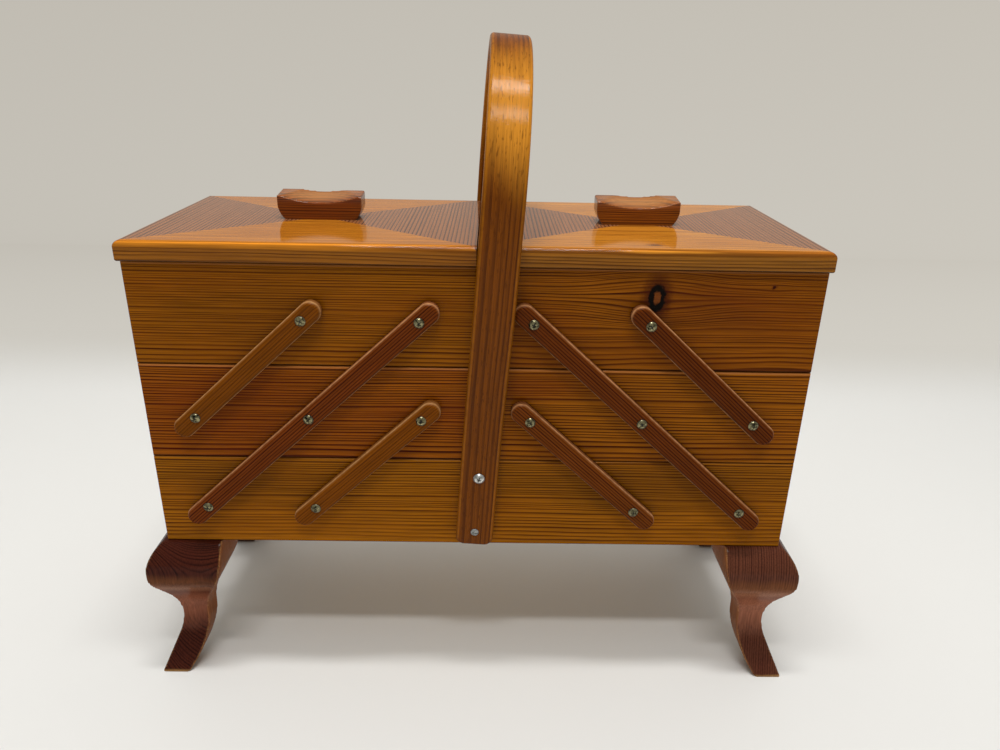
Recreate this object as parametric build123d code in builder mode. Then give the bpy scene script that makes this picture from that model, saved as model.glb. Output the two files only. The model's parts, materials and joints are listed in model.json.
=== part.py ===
"""Wooden sewing carrier: three tiers of trays, two lids, a bent-wood handle and four cabriole legs.

The frame is in millimetres: X runs along the carrier, -Y is the front, Z is up, and the origin
lies on the floor under the middle of the carrier. The middle and top tiers are split into a left
and a right tray, which slanting arms carry outwards and over. Only left-hand and front pieces are
drawn, and the others are mirrored from them.
"""

import math
import os

from build123d import *

# ---- trays -------------------------------------------------------------------------------
TRAY_LENGTH = 440.0  # whole bottom tray, and both halves of an upper tier
TRAY_DEPTH = 160.0
TIER_PITCH = 68.0  # height from one tray's underside to the next
TIER_GAP = 0.6  # running gap between a tray and the one on it
CENTRE_GAP = 0.8  # gap between the left and right halves
BOARD = 10.0  # thickness of the tray boards
RABBET = 5.0  # depth of the steps that hold end boards and base panels
PANEL = 4.0  # thickness of the base panels
BOARD_ROUND = 1.0  # rounding of the boards' outer edges

# ---- lids --------------------------------------------------------------------------------
LID_THICKNESS = 13.0
LID_FRONT_OVERHANG = 4.0
LID_END_OVERHANG = 1.0
LID_TOP_ROUND = 4.0
LID_UNDER_ROUND = 1.5
INLAY_THICKNESS = 1.2
INLAY_MARGIN = 0.5  # between the inlay and the rounding or the split
INLAY_APEX_GAP = 4.0  # between the two triangles' tips, under the knob

KNOB_BASE = 49.0  # length where it sits on the lid
KNOB_TOP = 58.0  # length across its flared ends
KNOB_DEPTH = 18.0
KNOB_FRONT_HEIGHT = 16.0
KNOB_BACK_HEIGHT = 18.0
KNOB_FLARE_HEIGHT = 9.0  # where the flared ends turn upright
KNOB_FLARE_OUT = 0.62  # share of the flare gained by the middle of its curve
KNOB_FLARE_UP = 0.42  # share of the flare's height at the same point
KNOB_SCOOP_RADIUS = 85.0
KNOB_SCOOP_DEPTH = 4.6  # at the front edge
KNOB_SCOOP_RISE = 3.4  # by which the scoop is shallower at the back
KNOB_EASE = 0.8  # chamfer round the top of the knob

# ---- arms and their pivots ---------------------------------------------------------------
INNER_PIVOT = 36.0  # from the middle of the carrier
OUTER_PIVOT_INSET = 36.0  # from the end of the tray
PIVOT_HEIGHT = 33.0  # above a tray's underside
ARM_WIDTH = 14.0
ARM_THICKNESS = 8.0
ARM_EASE = 2.0  # how far the arms' show edges are eased
ARM_FOOT_REACH = 19.0  # from the lowest pivot to the arm's tip
ARM_HANDLE_GAP = 0.4  # between the upper arm tips and the handle

SCREW_RADIUS = 2.0
FIT_CLEARANCE = 0.05  # radial, round a screw or pin
OPEN_PIVOT_CLEARANCE = 0.12  # radial, in the arm ends that only follow
PILOT_DEPTH = 8.0
ARM_PLAY = 0.4  # between a tray's face and the arm on it
HEAD_PLAY = 0.15  # between an arm and the screw head over it
HEAD_RADIUS = 3.8
HEAD_HEIGHT = 1.8
HEAD_CROWN = 1.7  # radius of a head's flat crown

# ---- handle ------------------------------------------------------------------------------
STRAP_WIDTH = 26.0
STRAP_THICKNESS = 8.0
STRAP_EASE = 1.6
STRAP_CORNER = 6.0
WASHER_RADIUS = 5.0
WASHER_THICKNESS = 1.0  # holds the handle clear of the moving trays
HANDLE_LEAN = 3.5  # degrees, towards +X
HANDLE_FOOT_X = -0.8
HANDLE_FOOT_HEIGHT = 4.5  # above the bottom tray's underside
HANDLE_RISE = 121.0  # top of the arch above the lids
HANDLE_LID_GAP = 5.0
HANDLE_BOW_START = 68.0  # above the foot, where the strap begins to swing outwards
HANDLE_BOW_LENGTH = 110.0
UPPER_SCREW_DROP = 9.5  # below the middle tier's underside
LOWER_SCREW_HEIGHT = 15.5  # above the bottom tray's underside
UPPER_HEAD_RADIUS = 3.9
UPPER_HEAD_HEIGHT = 2.4
LOWER_HEAD_RADIUS = 2.8
LOWER_HEAD_HEIGHT = 1.4

# ---- legs --------------------------------------------------------------------------------
LEG_HEIGHT = 109.0
LEG_PAD = 39.5  # how far the leg's top reaches in under the tray
LEG_TOP_PROUD = 2.5  # how far its top stands out past the tray
KNEE_PROUD = 13.8
KNEE_DROP = 22.0  # below the tray
UNDER_KNEE_DROP = 29.3  # corner under the knee, before it is rounded
KNEE_ROUND = 22.0
ANKLE_INSET = 6.6  # corner inside the ankle, before it is rounded
ANKLE_DROP = 62.0
ANKLE_ROUND = 41.0
TOE_PROUD = 14.0
HEEL_INSET = 5.5
CALF_INSET = 20.6
CALF_DROP = 66.0
SHIN_INSET = 29.0
SHIN_DROP = 39.5
LEG_SCREW_INSET = 21.0  # from both sides of the tray's corner
LEG_SCREW_LENGTH = 18.0
LEG_SCREW_HEAD = 3.8
LEG_SCREW_RIM = 1.6

# ---- battens that locate the lids ----------------------------------------------------------
BATTEN_WIDTH = 14.0
BATTEN_HEIGHT = 6.0
BATTEN_PLAY = 0.5  # between a batten and the boards of the tray
LIFT_LEAN = 35.0  # degrees from upright, the way a lid is drawn off, clear of the handle

# ---- places worked out from the sizes ----------------------------------------------------
HALF_LENGTH = TRAY_LENGTH / 2
HALF_DEPTH = TRAY_DEPTH / 2
BOARD_HEIGHT = TIER_PITCH - TIER_GAP
SPLIT_X = CENTRE_GAP / 2
OUTER_PIVOT = HALF_LENGTH - OUTER_PIVOT_INSET
MIDDLE_PIVOT = (OUTER_PIVOT + INNER_PIVOT) / 2
PIVOT_STEP = (OUTER_PIVOT - INNER_PIVOT) / 2
ARM_ANGLE = math.degrees(math.atan2(TIER_PITCH, PIVOT_STEP))
TIER_Z = [LEG_HEIGHT + tier * TIER_PITCH for tier in range(3)]
PIVOT_Z = [z + PIVOT_HEIGHT for z in TIER_Z]
LID_Z = LEG_HEIGHT + 3 * TIER_PITCH
LID_TOP = LID_Z + LID_THICKNESS
LID_END = HALF_LENGTH + LID_END_OVERHANG
LID_FRONT = HALF_DEPTH + LID_FRONT_OVERHANG
LID_CENTRE = (LID_END + SPLIT_X) / 2
ARM_BACK = HALF_DEPTH + ARM_PLAY
ARM_FACE = ARM_BACK + ARM_THICKNESS
LEG_SCREW_SPACING = (TRAY_LENGTH - 2 * LEG_SCREW_INSET, TRAY_DEPTH - 2 * LEG_SCREW_INSET)
HANDLE_FOOT_Z = LEG_HEIGHT + HANDLE_FOOT_HEIGHT
LEAN = math.radians(HANDLE_LEAN)


def handle_x(z):
    """Middle of the leaning strap at height z."""
    return HANDLE_FOOT_X + (z - HANDLE_FOOT_Z) * math.tan(LEAN)


# The upper end of an arm stops short of the handle, at the height of the topmost pivots.
HANDLE_EDGE = handle_x(PIVOT_Z[2] + ARM_WIDTH / 2) + STRAP_WIDTH / 2 / math.cos(LEAN)
TIP_ROOM = INNER_PIVOT - HANDLE_EDGE - ARM_HANDLE_GAP - ARM_WIDTH / 2
ARM_HEAD_REACH = ARM_WIDTH / 2 + TIP_ROOM / math.cos(math.radians(ARM_ANGLE))

os.makedirs("parts", exist_ok=True)


def keep(node, part):
    """Label a finished piece and write it under its node's name."""
    part.label = node
    export_step(part, f"parts/{node}.step")


def mirrored(part, about):
    """The same piece on the other side of the carrier."""
    with BuildPart() as copy:
        mirror(part, about=about)
    return copy.part


def keep_left_and_right(name, part):
    """Write a left-hand piece and its right-hand twin."""
    keep(f"left_{name}", part)
    keep(f"right_{name}", mirrored(part, Plane.YZ))


# ---- tray boards and base panels -----------------------------------------------------------
def front_board(left, right, low, pivots):
    """A long board: rabbeted at its ends and along its foot, with blind holes for screws."""
    with BuildPart() as board:
        with BuildSketch(Plane.XZ.offset(HALF_DEPTH)):
            with Locations(((left + right) / 2, low)):
                Rectangle(right - left, BOARD_HEIGHT, align=(Align.CENTER, Align.MIN))
        extrude(amount=-BOARD)
        fillet(board.faces().sort_by(Axis.Y)[0].edges(), BOARD_ROUND)
        with BuildSketch(Plane.XZ.offset(HALF_DEPTH - BOARD)):
            with Locations((left, low)):
                Rectangle(BOARD, BOARD_HEIGHT, align=Align.MIN)
            with Locations((right, low)):
                Rectangle(BOARD, BOARD_HEIGHT, align=(Align.MAX, Align.MIN))
            with Locations((left, low)):
                Rectangle(right - left, PANEL, align=Align.MIN)
        extrude(amount=RABBET, mode=Mode.SUBTRACT)
        with BuildSketch(Plane.XZ.offset(HALF_DEPTH)):
            with Locations(*pivots):
                Circle(SCREW_RADIUS + FIT_CLEARANCE)
        extrude(amount=-PILOT_DEPTH, mode=Mode.SUBTRACT)
    return board.part


def end_board(x, inward, low):
    """A short board at x whose inside faces +X when inward is 1, or -X when it is -1."""
    half_span = HALF_DEPTH - RABBET
    with BuildPart() as board:
        with BuildSketch(Plane.YZ.offset(x)):
            with Locations((0, low)):
                Rectangle(2 * half_span, BOARD_HEIGHT, align=(Align.CENTER, Align.MIN))
        extrude(amount=inward * BOARD)
        outside = board.faces().sort_by(Axis.X)[0 if inward > 0 else -1]
        fillet(outside.edges().filter_by(Axis.Y), BOARD_ROUND)
        with BuildSketch(Plane.YZ.offset(x + inward * (BOARD - RABBET))):
            with Locations((0, low)):
                Rectangle(2 * half_span, PANEL, align=(Align.CENTER, Align.MIN))
        extrude(amount=inward * RABBET, mode=Mode.SUBTRACT)
    return board.part


def base_panel(left, right, low):
    """A thin panel that fills the rabbets along the foot of the four boards."""
    with BuildPart() as panel:
        with BuildSketch(Plane.XY.offset(low)):
            with Locations(((left + right) / 2, 0)):
                Rectangle(right - left - 2 * (BOARD - RABBET), TRAY_DEPTH - 2 * (BOARD - RABBET))
        extrude(amount=PANEL)
    return panel.part


def make_bottom_tray():
    """The fixed tray on the legs, which also carries the handle and the lowest pivots."""
    low = TIER_Z[0]
    pivots = [(side * x, PIVOT_Z[0]) for side in (-1, 1) for x in (MIDDLE_PIVOT, OUTER_PIVOT)]
    handle_screws = [(handle_x(z), z) for z in handle_screw_heights()]
    front = front_board(-HALF_LENGTH, HALF_LENGTH, low, pivots + handle_screws)
    keep("bottom_front_board", front)
    keep("bottom_back_board", mirrored(front, Plane.XZ))
    keep("bottom_left_end", end_board(-HALF_LENGTH, 1, low))
    keep("bottom_right_end", end_board(HALF_LENGTH, -1, low))
    with BuildPart() as panel:
        add(base_panel(-HALF_LENGTH, HALF_LENGTH, low))
        with BuildSketch(Plane.XY.offset(low)):
            with GridLocations(*LEG_SCREW_SPACING, 2, 2):
                Circle(SCREW_RADIUS + FIT_CLEARANCE)
        extrude(amount=PANEL, mode=Mode.SUBTRACT)
    keep("bottom_base_panel", panel.part)


def make_upper_trays():
    """The four swinging trays: a left and a right one on each of the upper tiers."""
    tiers = {
        "middle": (1, (INNER_PIVOT, MIDDLE_PIVOT, OUTER_PIVOT)),
        "top": (2, (INNER_PIVOT, MIDDLE_PIVOT)),
    }
    for tier_name, (tier, pivots) in tiers.items():
        low = TIER_Z[tier]
        holes = [(-x, PIVOT_Z[tier]) for x in pivots]
        front = front_board(-HALF_LENGTH, -SPLIT_X, low, holes)
        keep_left_and_right(f"{tier_name}_front_board", front)
        keep_left_and_right(f"{tier_name}_back_board", mirrored(front, Plane.XZ))
        keep_left_and_right(f"{tier_name}_outer_end", end_board(-HALF_LENGTH, 1, low))
        keep_left_and_right(f"{tier_name}_inner_end", end_board(-SPLIT_X, -1, low))
        keep_left_and_right(f"{tier_name}_base_panel", base_panel(-HALF_LENGTH, -SPLIT_X, low))


# ---- legs ----------------------------------------------------------------------------------
def leg_outline(corner):
    """Side view of a cabriole leg whose tray face is at -corner."""
    top = LEG_HEIGHT
    brow = (-corner - LEG_TOP_PROUD, top)
    knee = (-corner - KNEE_PROUD, top - KNEE_DROP)
    under_knee = (-corner - KNEE_PROUD, top - UNDER_KNEE_DROP)
    ankle = (-corner + ANKLE_INSET, top - ANKLE_DROP)
    toe = (-corner - TOE_PROUD, 0)
    heel = (-corner + HEEL_INSET, 0)
    calf = (-corner + CALF_INSET, top - CALF_DROP)
    shin = (-corner + SHIN_INSET, top - SHIN_DROP)
    pad = (-corner + LEG_PAD, top)
    with BuildSketch() as outline:
        with BuildLine():
            TangentArc(knee, brow, tangent=(0, 1))
            FilletPolyline(knee, under_knee, ankle, toe, radius=(KNEE_ROUND, ANKLE_ROUND))
            Line(toe, heel)
            TangentArc(calf, heel, tangent=(0, -1))
            swell = TangentArc(calf, shin, tangent=(0, 1))
            TangentArc(swell @ 1, pad, tangent=swell % 1)
            Line(pad, brow)
        make_face()
    return outline.sketch


def make_legs():
    """Four legs, each sawn to one outline from the front and again from the side."""
    from_front = leg_outline(HALF_LENGTH)
    from_side = leg_outline(HALF_DEPTH)
    with BuildPart() as leg:
        with BuildSketch(Plane.XZ):
            add(from_front)
        extrude(amount=TRAY_DEPTH, both=True)
        with BuildSketch(Plane.YZ):
            add(from_side)
        extrude(amount=TRAY_LENGTH, both=True, mode=Mode.INTERSECT)
        with BuildSketch(Plane.XY.offset(LEG_HEIGHT)):
            with Locations((LEG_SCREW_INSET - HALF_LENGTH, LEG_SCREW_INSET - HALF_DEPTH)):
                Circle(SCREW_RADIUS + FIT_CLEARANCE)
        extrude(amount=PANEL - LEG_SCREW_LENGTH, mode=Mode.SUBTRACT)
    back_leg = mirrored(leg.part, Plane.XZ)
    keep("front_left_leg", leg.part)
    keep("back_left_leg", back_leg)
    keep("front_right_leg", mirrored(leg.part, Plane.YZ))
    keep("back_right_leg", mirrored(back_leg, Plane.YZ))


def make_leg_screws():
    """Screws that hold the legs from inside the bottom tray."""
    with BuildPart() as screw:
        Cylinder(LEG_SCREW_HEAD, LEG_SCREW_RIM, align=(Align.CENTER, Align.CENTER, Align.MIN))
        Cylinder(SCREW_RADIUS, LEG_SCREW_LENGTH, align=(Align.CENTER, Align.CENTER, Align.MAX))
    with BuildPart(Plane.XY.offset(LEG_HEIGHT + PANEL)) as screws:
        with GridLocations(*LEG_SCREW_SPACING, 2, 2):
            add(screw.part)
    keep("leg_screws", screws.part)


# ---- handle --------------------------------------------------------------------------------
def handle_screw_heights():
    """Heights of the two screws in each foot of the handle."""
    return (TIER_Z[1] - UPPER_SCREW_DROP, TIER_Z[0] + LOWER_SCREW_HEIGHT)


def make_handle():
    """A bent strap from the front of the bottom tray, over the lids and down the back."""
    foot_y = HALF_DEPTH + WASHER_THICKNESS + STRAP_THICKNESS / 2
    arch_y = LID_FRONT + HANDLE_LID_GAP + STRAP_THICKNESS / 2
    top = (LID_TOP + HANDLE_RISE - HANDLE_FOOT_Z) / math.cos(LEAN) - STRAP_THICKNESS / 2
    spring = top - arch_y
    bow_end = HANDLE_BOW_START + HANDLE_BOW_LENGTH
    bow_middle = ((foot_y + arch_y) / 2, HANDLE_BOW_START + HANDLE_BOW_LENGTH / 2)
    lean_plane = Plane(
        origin=(HANDLE_FOOT_X, 0, HANDLE_FOOT_Z),
        x_dir=(0, 1, 0),
        z_dir=(math.cos(LEAN), 0, -math.sin(LEAN)),
    )
    with BuildPart() as strap:
        with BuildSketch(lean_plane):
            with BuildLine():
                foot = Line((foot_y, 0), (foot_y, HANDLE_BOW_START))
                bow = TangentArc(foot @ 1, bow_middle, tangent=foot % 1)
                back_bow = TangentArc(bow @ 1, (arch_y, bow_end), tangent=bow % 1)
                upright = Line(back_bow @ 1, (arch_y, spring))
                TangentArc(upright @ 1, (0, top), tangent=upright % 1)
                mirror(about=Plane.YZ)
            trace(line_width=STRAP_THICKNESS)
        extrude(amount=STRAP_WIDTH / 2, both=True)
        fillet(strap.edges().filter_by(Axis.Y), STRAP_CORNER)
        flanks = strap.faces().filter_by(Axis((0, 0, 0), lean_plane.z_dir))
        chamfer(flanks.edges().filter_by(Axis.Y, reverse=True), STRAP_EASE)
        with BuildSketch(Plane.XZ):
            with Locations(*[(handle_x(z), z) for z in handle_screw_heights()]):
                Circle(SCREW_RADIUS + FIT_CLEARANCE)
        extrude(amount=foot_y + STRAP_THICKNESS, both=True, mode=Mode.SUBTRACT)
    keep("handle_bow", strap.part)


# ---- screws and washers --------------------------------------------------------------------
def face_screw(face, head_radius, head_height):
    """A screw along -Y through a pilot hole in the front, with a tapered head seated at face."""
    with BuildPart() as screw:
        with BuildSketch(Plane.XY):
            with BuildLine():
                Polyline(
                    (0, PILOT_DEPTH - HALF_DEPTH),
                    (SCREW_RADIUS, PILOT_DEPTH - HALF_DEPTH),
                    (SCREW_RADIUS, -face),
                    (head_radius, -face),
                    (HEAD_CROWN, -face - head_height),
                    (0, -face - head_height),
                    close=True,
                )
            make_face()
        revolve(axis=Axis.Y)
    return screw.part


def washer():
    """A spacer between the front of the bottom tray and the handle."""
    with BuildPart() as ring:
        with BuildSketch(Plane.XZ.offset(HALF_DEPTH)):
            Circle(WASHER_RADIUS)
            Circle(SCREW_RADIUS + FIT_CLEARANCE, mode=Mode.SUBTRACT)
        extrude(amount=WASHER_THICKNESS)
    return ring.part


def front_and_back(piece, spots):
    """A piece drawn at X = Z = 0 on the front, set at each spot on the front and the back."""
    with BuildPart() as group:
        with Locations(*[(x, 0, z) for x, z in spots]):
            add(piece)
            add(mirrored(piece, Plane.XZ))
    return group.part


def make_pivot_screws():
    """Raised-head screws on which the arms turn."""
    screw = face_screw(ARM_FACE + HEAD_PLAY, HEAD_RADIUS, HEAD_HEIGHT)
    low_spots = [(side * x, PIVOT_Z[0]) for side in (-1, 1) for x in (MIDDLE_PIVOT, OUTER_PIVOT)]
    keep("bottom_pivot_screws", front_and_back(screw, low_spots))
    middle_spots = [(-x, PIVOT_Z[1]) for x in (INNER_PIVOT, MIDDLE_PIVOT, OUTER_PIVOT)]
    keep_left_and_right("middle_pivot_screws", front_and_back(screw, middle_spots))
    top_spots = [(-x, PIVOT_Z[2]) for x in (INNER_PIVOT, MIDDLE_PIVOT)]
    keep_left_and_right("top_pivot_screws", front_and_back(screw, top_spots))


def make_handle_screws():
    """Two screws of different sizes in each foot of the handle, and the washers behind it."""
    face = HALF_DEPTH + WASHER_THICKNESS + STRAP_THICKNESS
    upper, lower = [(handle_x(z), z) for z in handle_screw_heights()]
    with BuildPart() as screws:
        add(front_and_back(face_screw(face, UPPER_HEAD_RADIUS, UPPER_HEAD_HEIGHT), [upper]))
        add(front_and_back(face_screw(face, LOWER_HEAD_RADIUS, LOWER_HEAD_HEIGHT), [lower]))
        add(front_and_back(washer(), [upper, lower]))
    keep("handle_screws", screws.part)


# ---- arms ----------------------------------------------------------------------------------
def arm(low_pivot, tiers, open_at_top):
    """A front arm on the left side, from low_pivot (x, z) up over a number of tiers."""
    low_x, low_z = low_pivot
    run = tiers * math.hypot(PIVOT_STEP, TIER_PITCH)
    end_round = ARM_WIDTH / 2
    separation = run + (ARM_FOOT_REACH - end_round) + (ARM_HEAD_REACH - end_round)
    along = separation / 2 - (ARM_FOOT_REACH - end_round)
    angle = math.radians(ARM_ANGLE)
    middle = (low_x + along * math.cos(angle), low_z + along * math.sin(angle))
    pivots = [(low_x + tier * PIVOT_STEP, low_z + tier * TIER_PITCH) for tier in range(tiers + 1)]
    top_clearance = OPEN_PIVOT_CLEARANCE if open_at_top else FIT_CLEARANCE
    with BuildPart() as bar:
        with BuildSketch(Plane.XZ.offset(ARM_BACK)):
            with Locations(middle):
                SlotCenterToCenter(separation, ARM_WIDTH, rotation=ARM_ANGLE)
            with Locations(*pivots[:-1]):
                Circle(SCREW_RADIUS + FIT_CLEARANCE, mode=Mode.SUBTRACT)
            with Locations(pivots[-1]):
                Circle(SCREW_RADIUS + top_clearance, mode=Mode.SUBTRACT)
        extrude(amount=ARM_THICKNESS)
        show_face = bar.faces().sort_by(Axis.Y)[0]
        chamfer(show_face.outer_wire().edges(), ARM_EASE)
    return bar.part


def make_arms():
    """One long and two short arms on each side, front and back."""
    arms = {
        "long_arm": arm((-OUTER_PIVOT, PIVOT_Z[0]), 2, False),
        "lower_arm": arm((-MIDDLE_PIVOT, PIVOT_Z[0]), 1, True),
        "upper_arm": arm((-OUTER_PIVOT, PIVOT_Z[1]), 1, True),
    }
    for name, front_arm in arms.items():
        keep_left_and_right(f"front_{name}", front_arm)
        keep_left_and_right(f"back_{name}", mirrored(front_arm, Plane.XZ))


# ---- lids ----------------------------------------------------------------------------------
def inlay_triangles():
    """Corners of the two dark triangles of the left lid, which meet under its knob."""
    front = LID_FRONT - LID_TOP_ROUND - INLAY_MARGIN
    triangles = []
    for side, base in ((-1, LID_END - LID_TOP_ROUND - INLAY_MARGIN), (1, SPLIT_X + INLAY_MARGIN)):
        tip = (-LID_CENTRE + side * INLAY_APEX_GAP / 2, 0)
        triangles.append(((-base, -front), tip, (-base, front)))
    return triangles


def inlay_sketch():
    """Both triangles as one sketch."""
    with BuildSketch() as triangles:
        for corners in inlay_triangles():
            with BuildLine():
                Polyline(*corners, close=True)
            make_face()
    return triangles.sketch


def make_lid_panels():
    """A lid board with rounded edges and pockets for the inlay."""
    pockets = inlay_sketch()
    with BuildPart() as panel:
        with BuildSketch(Plane.XY.offset(LID_Z)):
            with Locations((-LID_CENTRE, 0)):
                Rectangle(LID_END - SPLIT_X, 2 * LID_FRONT)
        extrude(amount=LID_THICKNESS)
        top_edges = panel.faces().sort_by(Axis.Z)[-1].edges()
        under_edges = panel.faces().sort_by(Axis.Z)[0].edges()
        fillet(top_edges.sort_by(Axis.X)[:-1], LID_TOP_ROUND)
        fillet(under_edges.sort_by(Axis.X)[:-1], LID_UNDER_ROUND)
        with BuildSketch(Plane.XY.offset(LID_TOP)):
            add(pockets)
        extrude(amount=-INLAY_THICKNESS, mode=Mode.SUBTRACT)
    keep_left_and_right("lid_panel", panel.part)


def make_lid_inlays():
    """The dark veneer triangles, let in flush."""
    triangles = inlay_sketch()
    with BuildPart() as inlay:
        with BuildSketch(Plane.XY.offset(LID_TOP)):
            add(triangles)
        extrude(amount=-INLAY_THICKNESS)
    keep_left_and_right("lid_inlay", inlay.part)


def make_knobs():
    """A block with flared ends and a scoop sanded across its top, deeper at the front."""
    half_base = KNOB_BASE / 2
    half_top = KNOB_TOP / 2
    flare_out = half_base + KNOB_FLARE_OUT * (half_top - half_base)
    flare_up = KNOB_FLARE_UP * KNOB_FLARE_HEIGHT
    with BuildPart() as knob:
        with BuildSketch(Plane.XZ.offset(KNOB_DEPTH / 2)):
            with BuildLine():
                Line((-half_base, 0), (half_base, 0))
                for side in (-1, 1):
                    ThreePointArc(
                        (side * half_base, 0),
                        (side * flare_out, flare_up),
                        (side * half_top, KNOB_FLARE_HEIGHT),
                    )
                    Line((side * half_top, KNOB_FLARE_HEIGHT), (side * half_top, KNOB_BACK_HEIGHT))
                Line((-half_top, KNOB_BACK_HEIGHT), (half_top, KNOB_BACK_HEIGHT))
            make_face()
        extrude(amount=-KNOB_DEPTH)
        with BuildSketch(Plane.YZ):
            with BuildLine():
                Polyline(
                    (-KNOB_DEPTH / 2, KNOB_FRONT_HEIGHT),
                    (-KNOB_DEPTH / 2, KNOB_BACK_HEIGHT),
                    (KNOB_DEPTH / 2, KNOB_BACK_HEIGHT),
                    close=True,
                )
            make_face()
        extrude(amount=KNOB_TOP, both=True, mode=Mode.SUBTRACT)
        floor_front = KNOB_FRONT_HEIGHT - KNOB_SCOOP_DEPTH
        floor_back = KNOB_BACK_HEIGHT - KNOB_SCOOP_DEPTH + KNOB_SCOOP_RISE
        slope = math.atan2(floor_back - floor_front, KNOB_DEPTH)
        scoop_plane = Plane(
            origin=(0, -KNOB_DEPTH / 2, floor_front),
            x_dir=(1, 0, 0),
            z_dir=(0, math.cos(slope), math.sin(slope)),
        )
        with BuildSketch(scoop_plane):
            with Locations((0, -KNOB_SCOOP_RADIUS)):
                Circle(KNOB_SCOOP_RADIUS)
        extrude(amount=2 * KNOB_DEPTH, both=True, mode=Mode.SUBTRACT)
        chamfer(knob.faces().sort_by(Axis.Z)[-1].edges(), KNOB_EASE)
    with BuildPart() as left_knob:
        with Locations((-LID_CENTRE, 0, LID_TOP)):
            add(knob.part)
    keep_left_and_right("lid_knob", left_knob.part)


# ---- battens -------------------------------------------------------------------------------
def batten(outline):
    """A batten across the tray with the given outline, seen from the front."""
    with BuildPart() as bar:
        with BuildSketch(Plane.XZ):
            with BuildLine():
                Polyline(*outline, close=True)
            make_face()
        extrude(amount=HALF_DEPTH - BOARD - BATTEN_PLAY, both=True)
    return bar.part


def make_lid_battens():
    """Two battens under each lid, which drop between the boards of the top tray.

    The outer one is bevelled along the way the lid is drawn off, so that it clears the end board.
    """
    foot = LID_Z - BATTEN_HEIGHT
    bevel = BATTEN_HEIGHT * math.tan(math.radians(LIFT_LEAN))
    outer = -(HALF_LENGTH - BOARD - BATTEN_PLAY)
    inner = -(SPLIT_X + BOARD + BATTEN_PLAY)
    with BuildPart() as battens:
        add(
            batten(
                [
                    (outer, LID_Z),
                    (outer + bevel, foot),
                    (outer + BATTEN_WIDTH, foot),
                    (outer + BATTEN_WIDTH, LID_Z),
                ]
            )
        )
        add(
            batten(
                [
                    (inner, LID_Z),
                    (inner, foot),
                    (inner - BATTEN_WIDTH, foot),
                    (inner - BATTEN_WIDTH, LID_Z),
                ]
            )
        )
    keep_left_and_right("lid_battens", battens.part)


make_bottom_tray()
make_upper_trays()
make_legs()
make_leg_screws()
make_handle()
make_handle_screws()
make_pivot_screws()
make_arms()
make_lid_panels()
make_lid_inlays()
make_knobs()
make_lid_battens()
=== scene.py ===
"""Looks of a wooden sewing carrier with three tiers of trays and two lids.

Varnished pine trays stand on four dark cabriole legs. Slanting arms join the trays, a bent strap
is the handle, and each lid has dark veneer triangles and a scooped knob. Lengths are in metres
unless a name ends in _mm. X runs along the carrier, -Y is its front and Z is up.
"""

from __future__ import annotations

import json
import logging
import math
from dataclasses import dataclass, field, replace
from enum import Enum
from typing import Any, Callable, Iterable

import bmesh
import bpy
from mathutils import Matrix, Vector

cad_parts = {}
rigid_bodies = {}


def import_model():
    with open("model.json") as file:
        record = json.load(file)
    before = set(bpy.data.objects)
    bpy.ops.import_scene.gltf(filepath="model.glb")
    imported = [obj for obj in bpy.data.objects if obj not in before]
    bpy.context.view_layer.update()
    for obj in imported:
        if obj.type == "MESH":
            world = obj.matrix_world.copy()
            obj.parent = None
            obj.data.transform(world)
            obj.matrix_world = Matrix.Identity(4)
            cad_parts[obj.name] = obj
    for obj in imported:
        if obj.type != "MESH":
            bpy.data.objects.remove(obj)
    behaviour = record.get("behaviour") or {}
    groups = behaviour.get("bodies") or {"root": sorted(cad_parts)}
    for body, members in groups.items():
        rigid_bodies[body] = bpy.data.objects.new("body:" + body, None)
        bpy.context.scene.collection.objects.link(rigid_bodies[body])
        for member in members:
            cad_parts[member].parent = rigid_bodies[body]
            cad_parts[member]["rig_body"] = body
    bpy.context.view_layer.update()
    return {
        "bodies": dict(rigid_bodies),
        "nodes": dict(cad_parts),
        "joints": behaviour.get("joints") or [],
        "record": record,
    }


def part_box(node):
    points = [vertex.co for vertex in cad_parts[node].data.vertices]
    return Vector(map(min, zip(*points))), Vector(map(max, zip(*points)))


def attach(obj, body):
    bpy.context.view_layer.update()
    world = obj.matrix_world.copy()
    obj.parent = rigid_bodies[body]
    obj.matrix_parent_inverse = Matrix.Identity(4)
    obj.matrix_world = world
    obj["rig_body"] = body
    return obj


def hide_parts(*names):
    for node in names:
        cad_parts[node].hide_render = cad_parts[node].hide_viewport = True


LOG = logging.getLogger("sewing_carrier")
MM = 0.001
WOOD_IOR = 1.45
STRAP_GRAIN = "strap_grain"  # runs along, through and across the bent strap, in metres
WEAR = "wear"  # 1 where hands and floors have rubbed an edge, and along the arms' painted highlight; 0 on a flat
FADED = "faded"  # 1 on the sides of a leg where the stain is thin
SOILED_AND_SHADED = "soiled_and_shaded"  # 1 in a screw's drive and round its rim, darkened as dirt and painted shade
ONE_RING = (  # darkness from spring, through the autumn line, to the next spring
    (0.0, "#060606"),
    (0.36, "#202020"),
    (0.6, "#9a9a9a"),
    (0.75, "#ffffff"),
    (0.94, "#ffffff"),
    (1.0, "#060606"),
)
Tree = bpy.types.NodeTree
Socket = bpy.types.NodeSocket


# ---- small helpers -----------------------------------------------------------------------
def to_linear(hex_colour: str) -> tuple[float, float, float, float]:
    """Turn an sRGB hex colour into linear RGBA.

    Args:
        hex_colour: Such as "#8a4a12".

    Returns:
        Red, green, blue and an alpha of 1.
    """
    channels = [int(hex_colour[i : i + 2], 16) / 255 for i in (1, 3, 5)]
    linear = [c / 12.92 if c <= 0.04045 else ((c + 0.055) / 1.055) ** 2.4 for c in channels]
    return (linear[0], linear[1], linear[2], 1.0)


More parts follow.
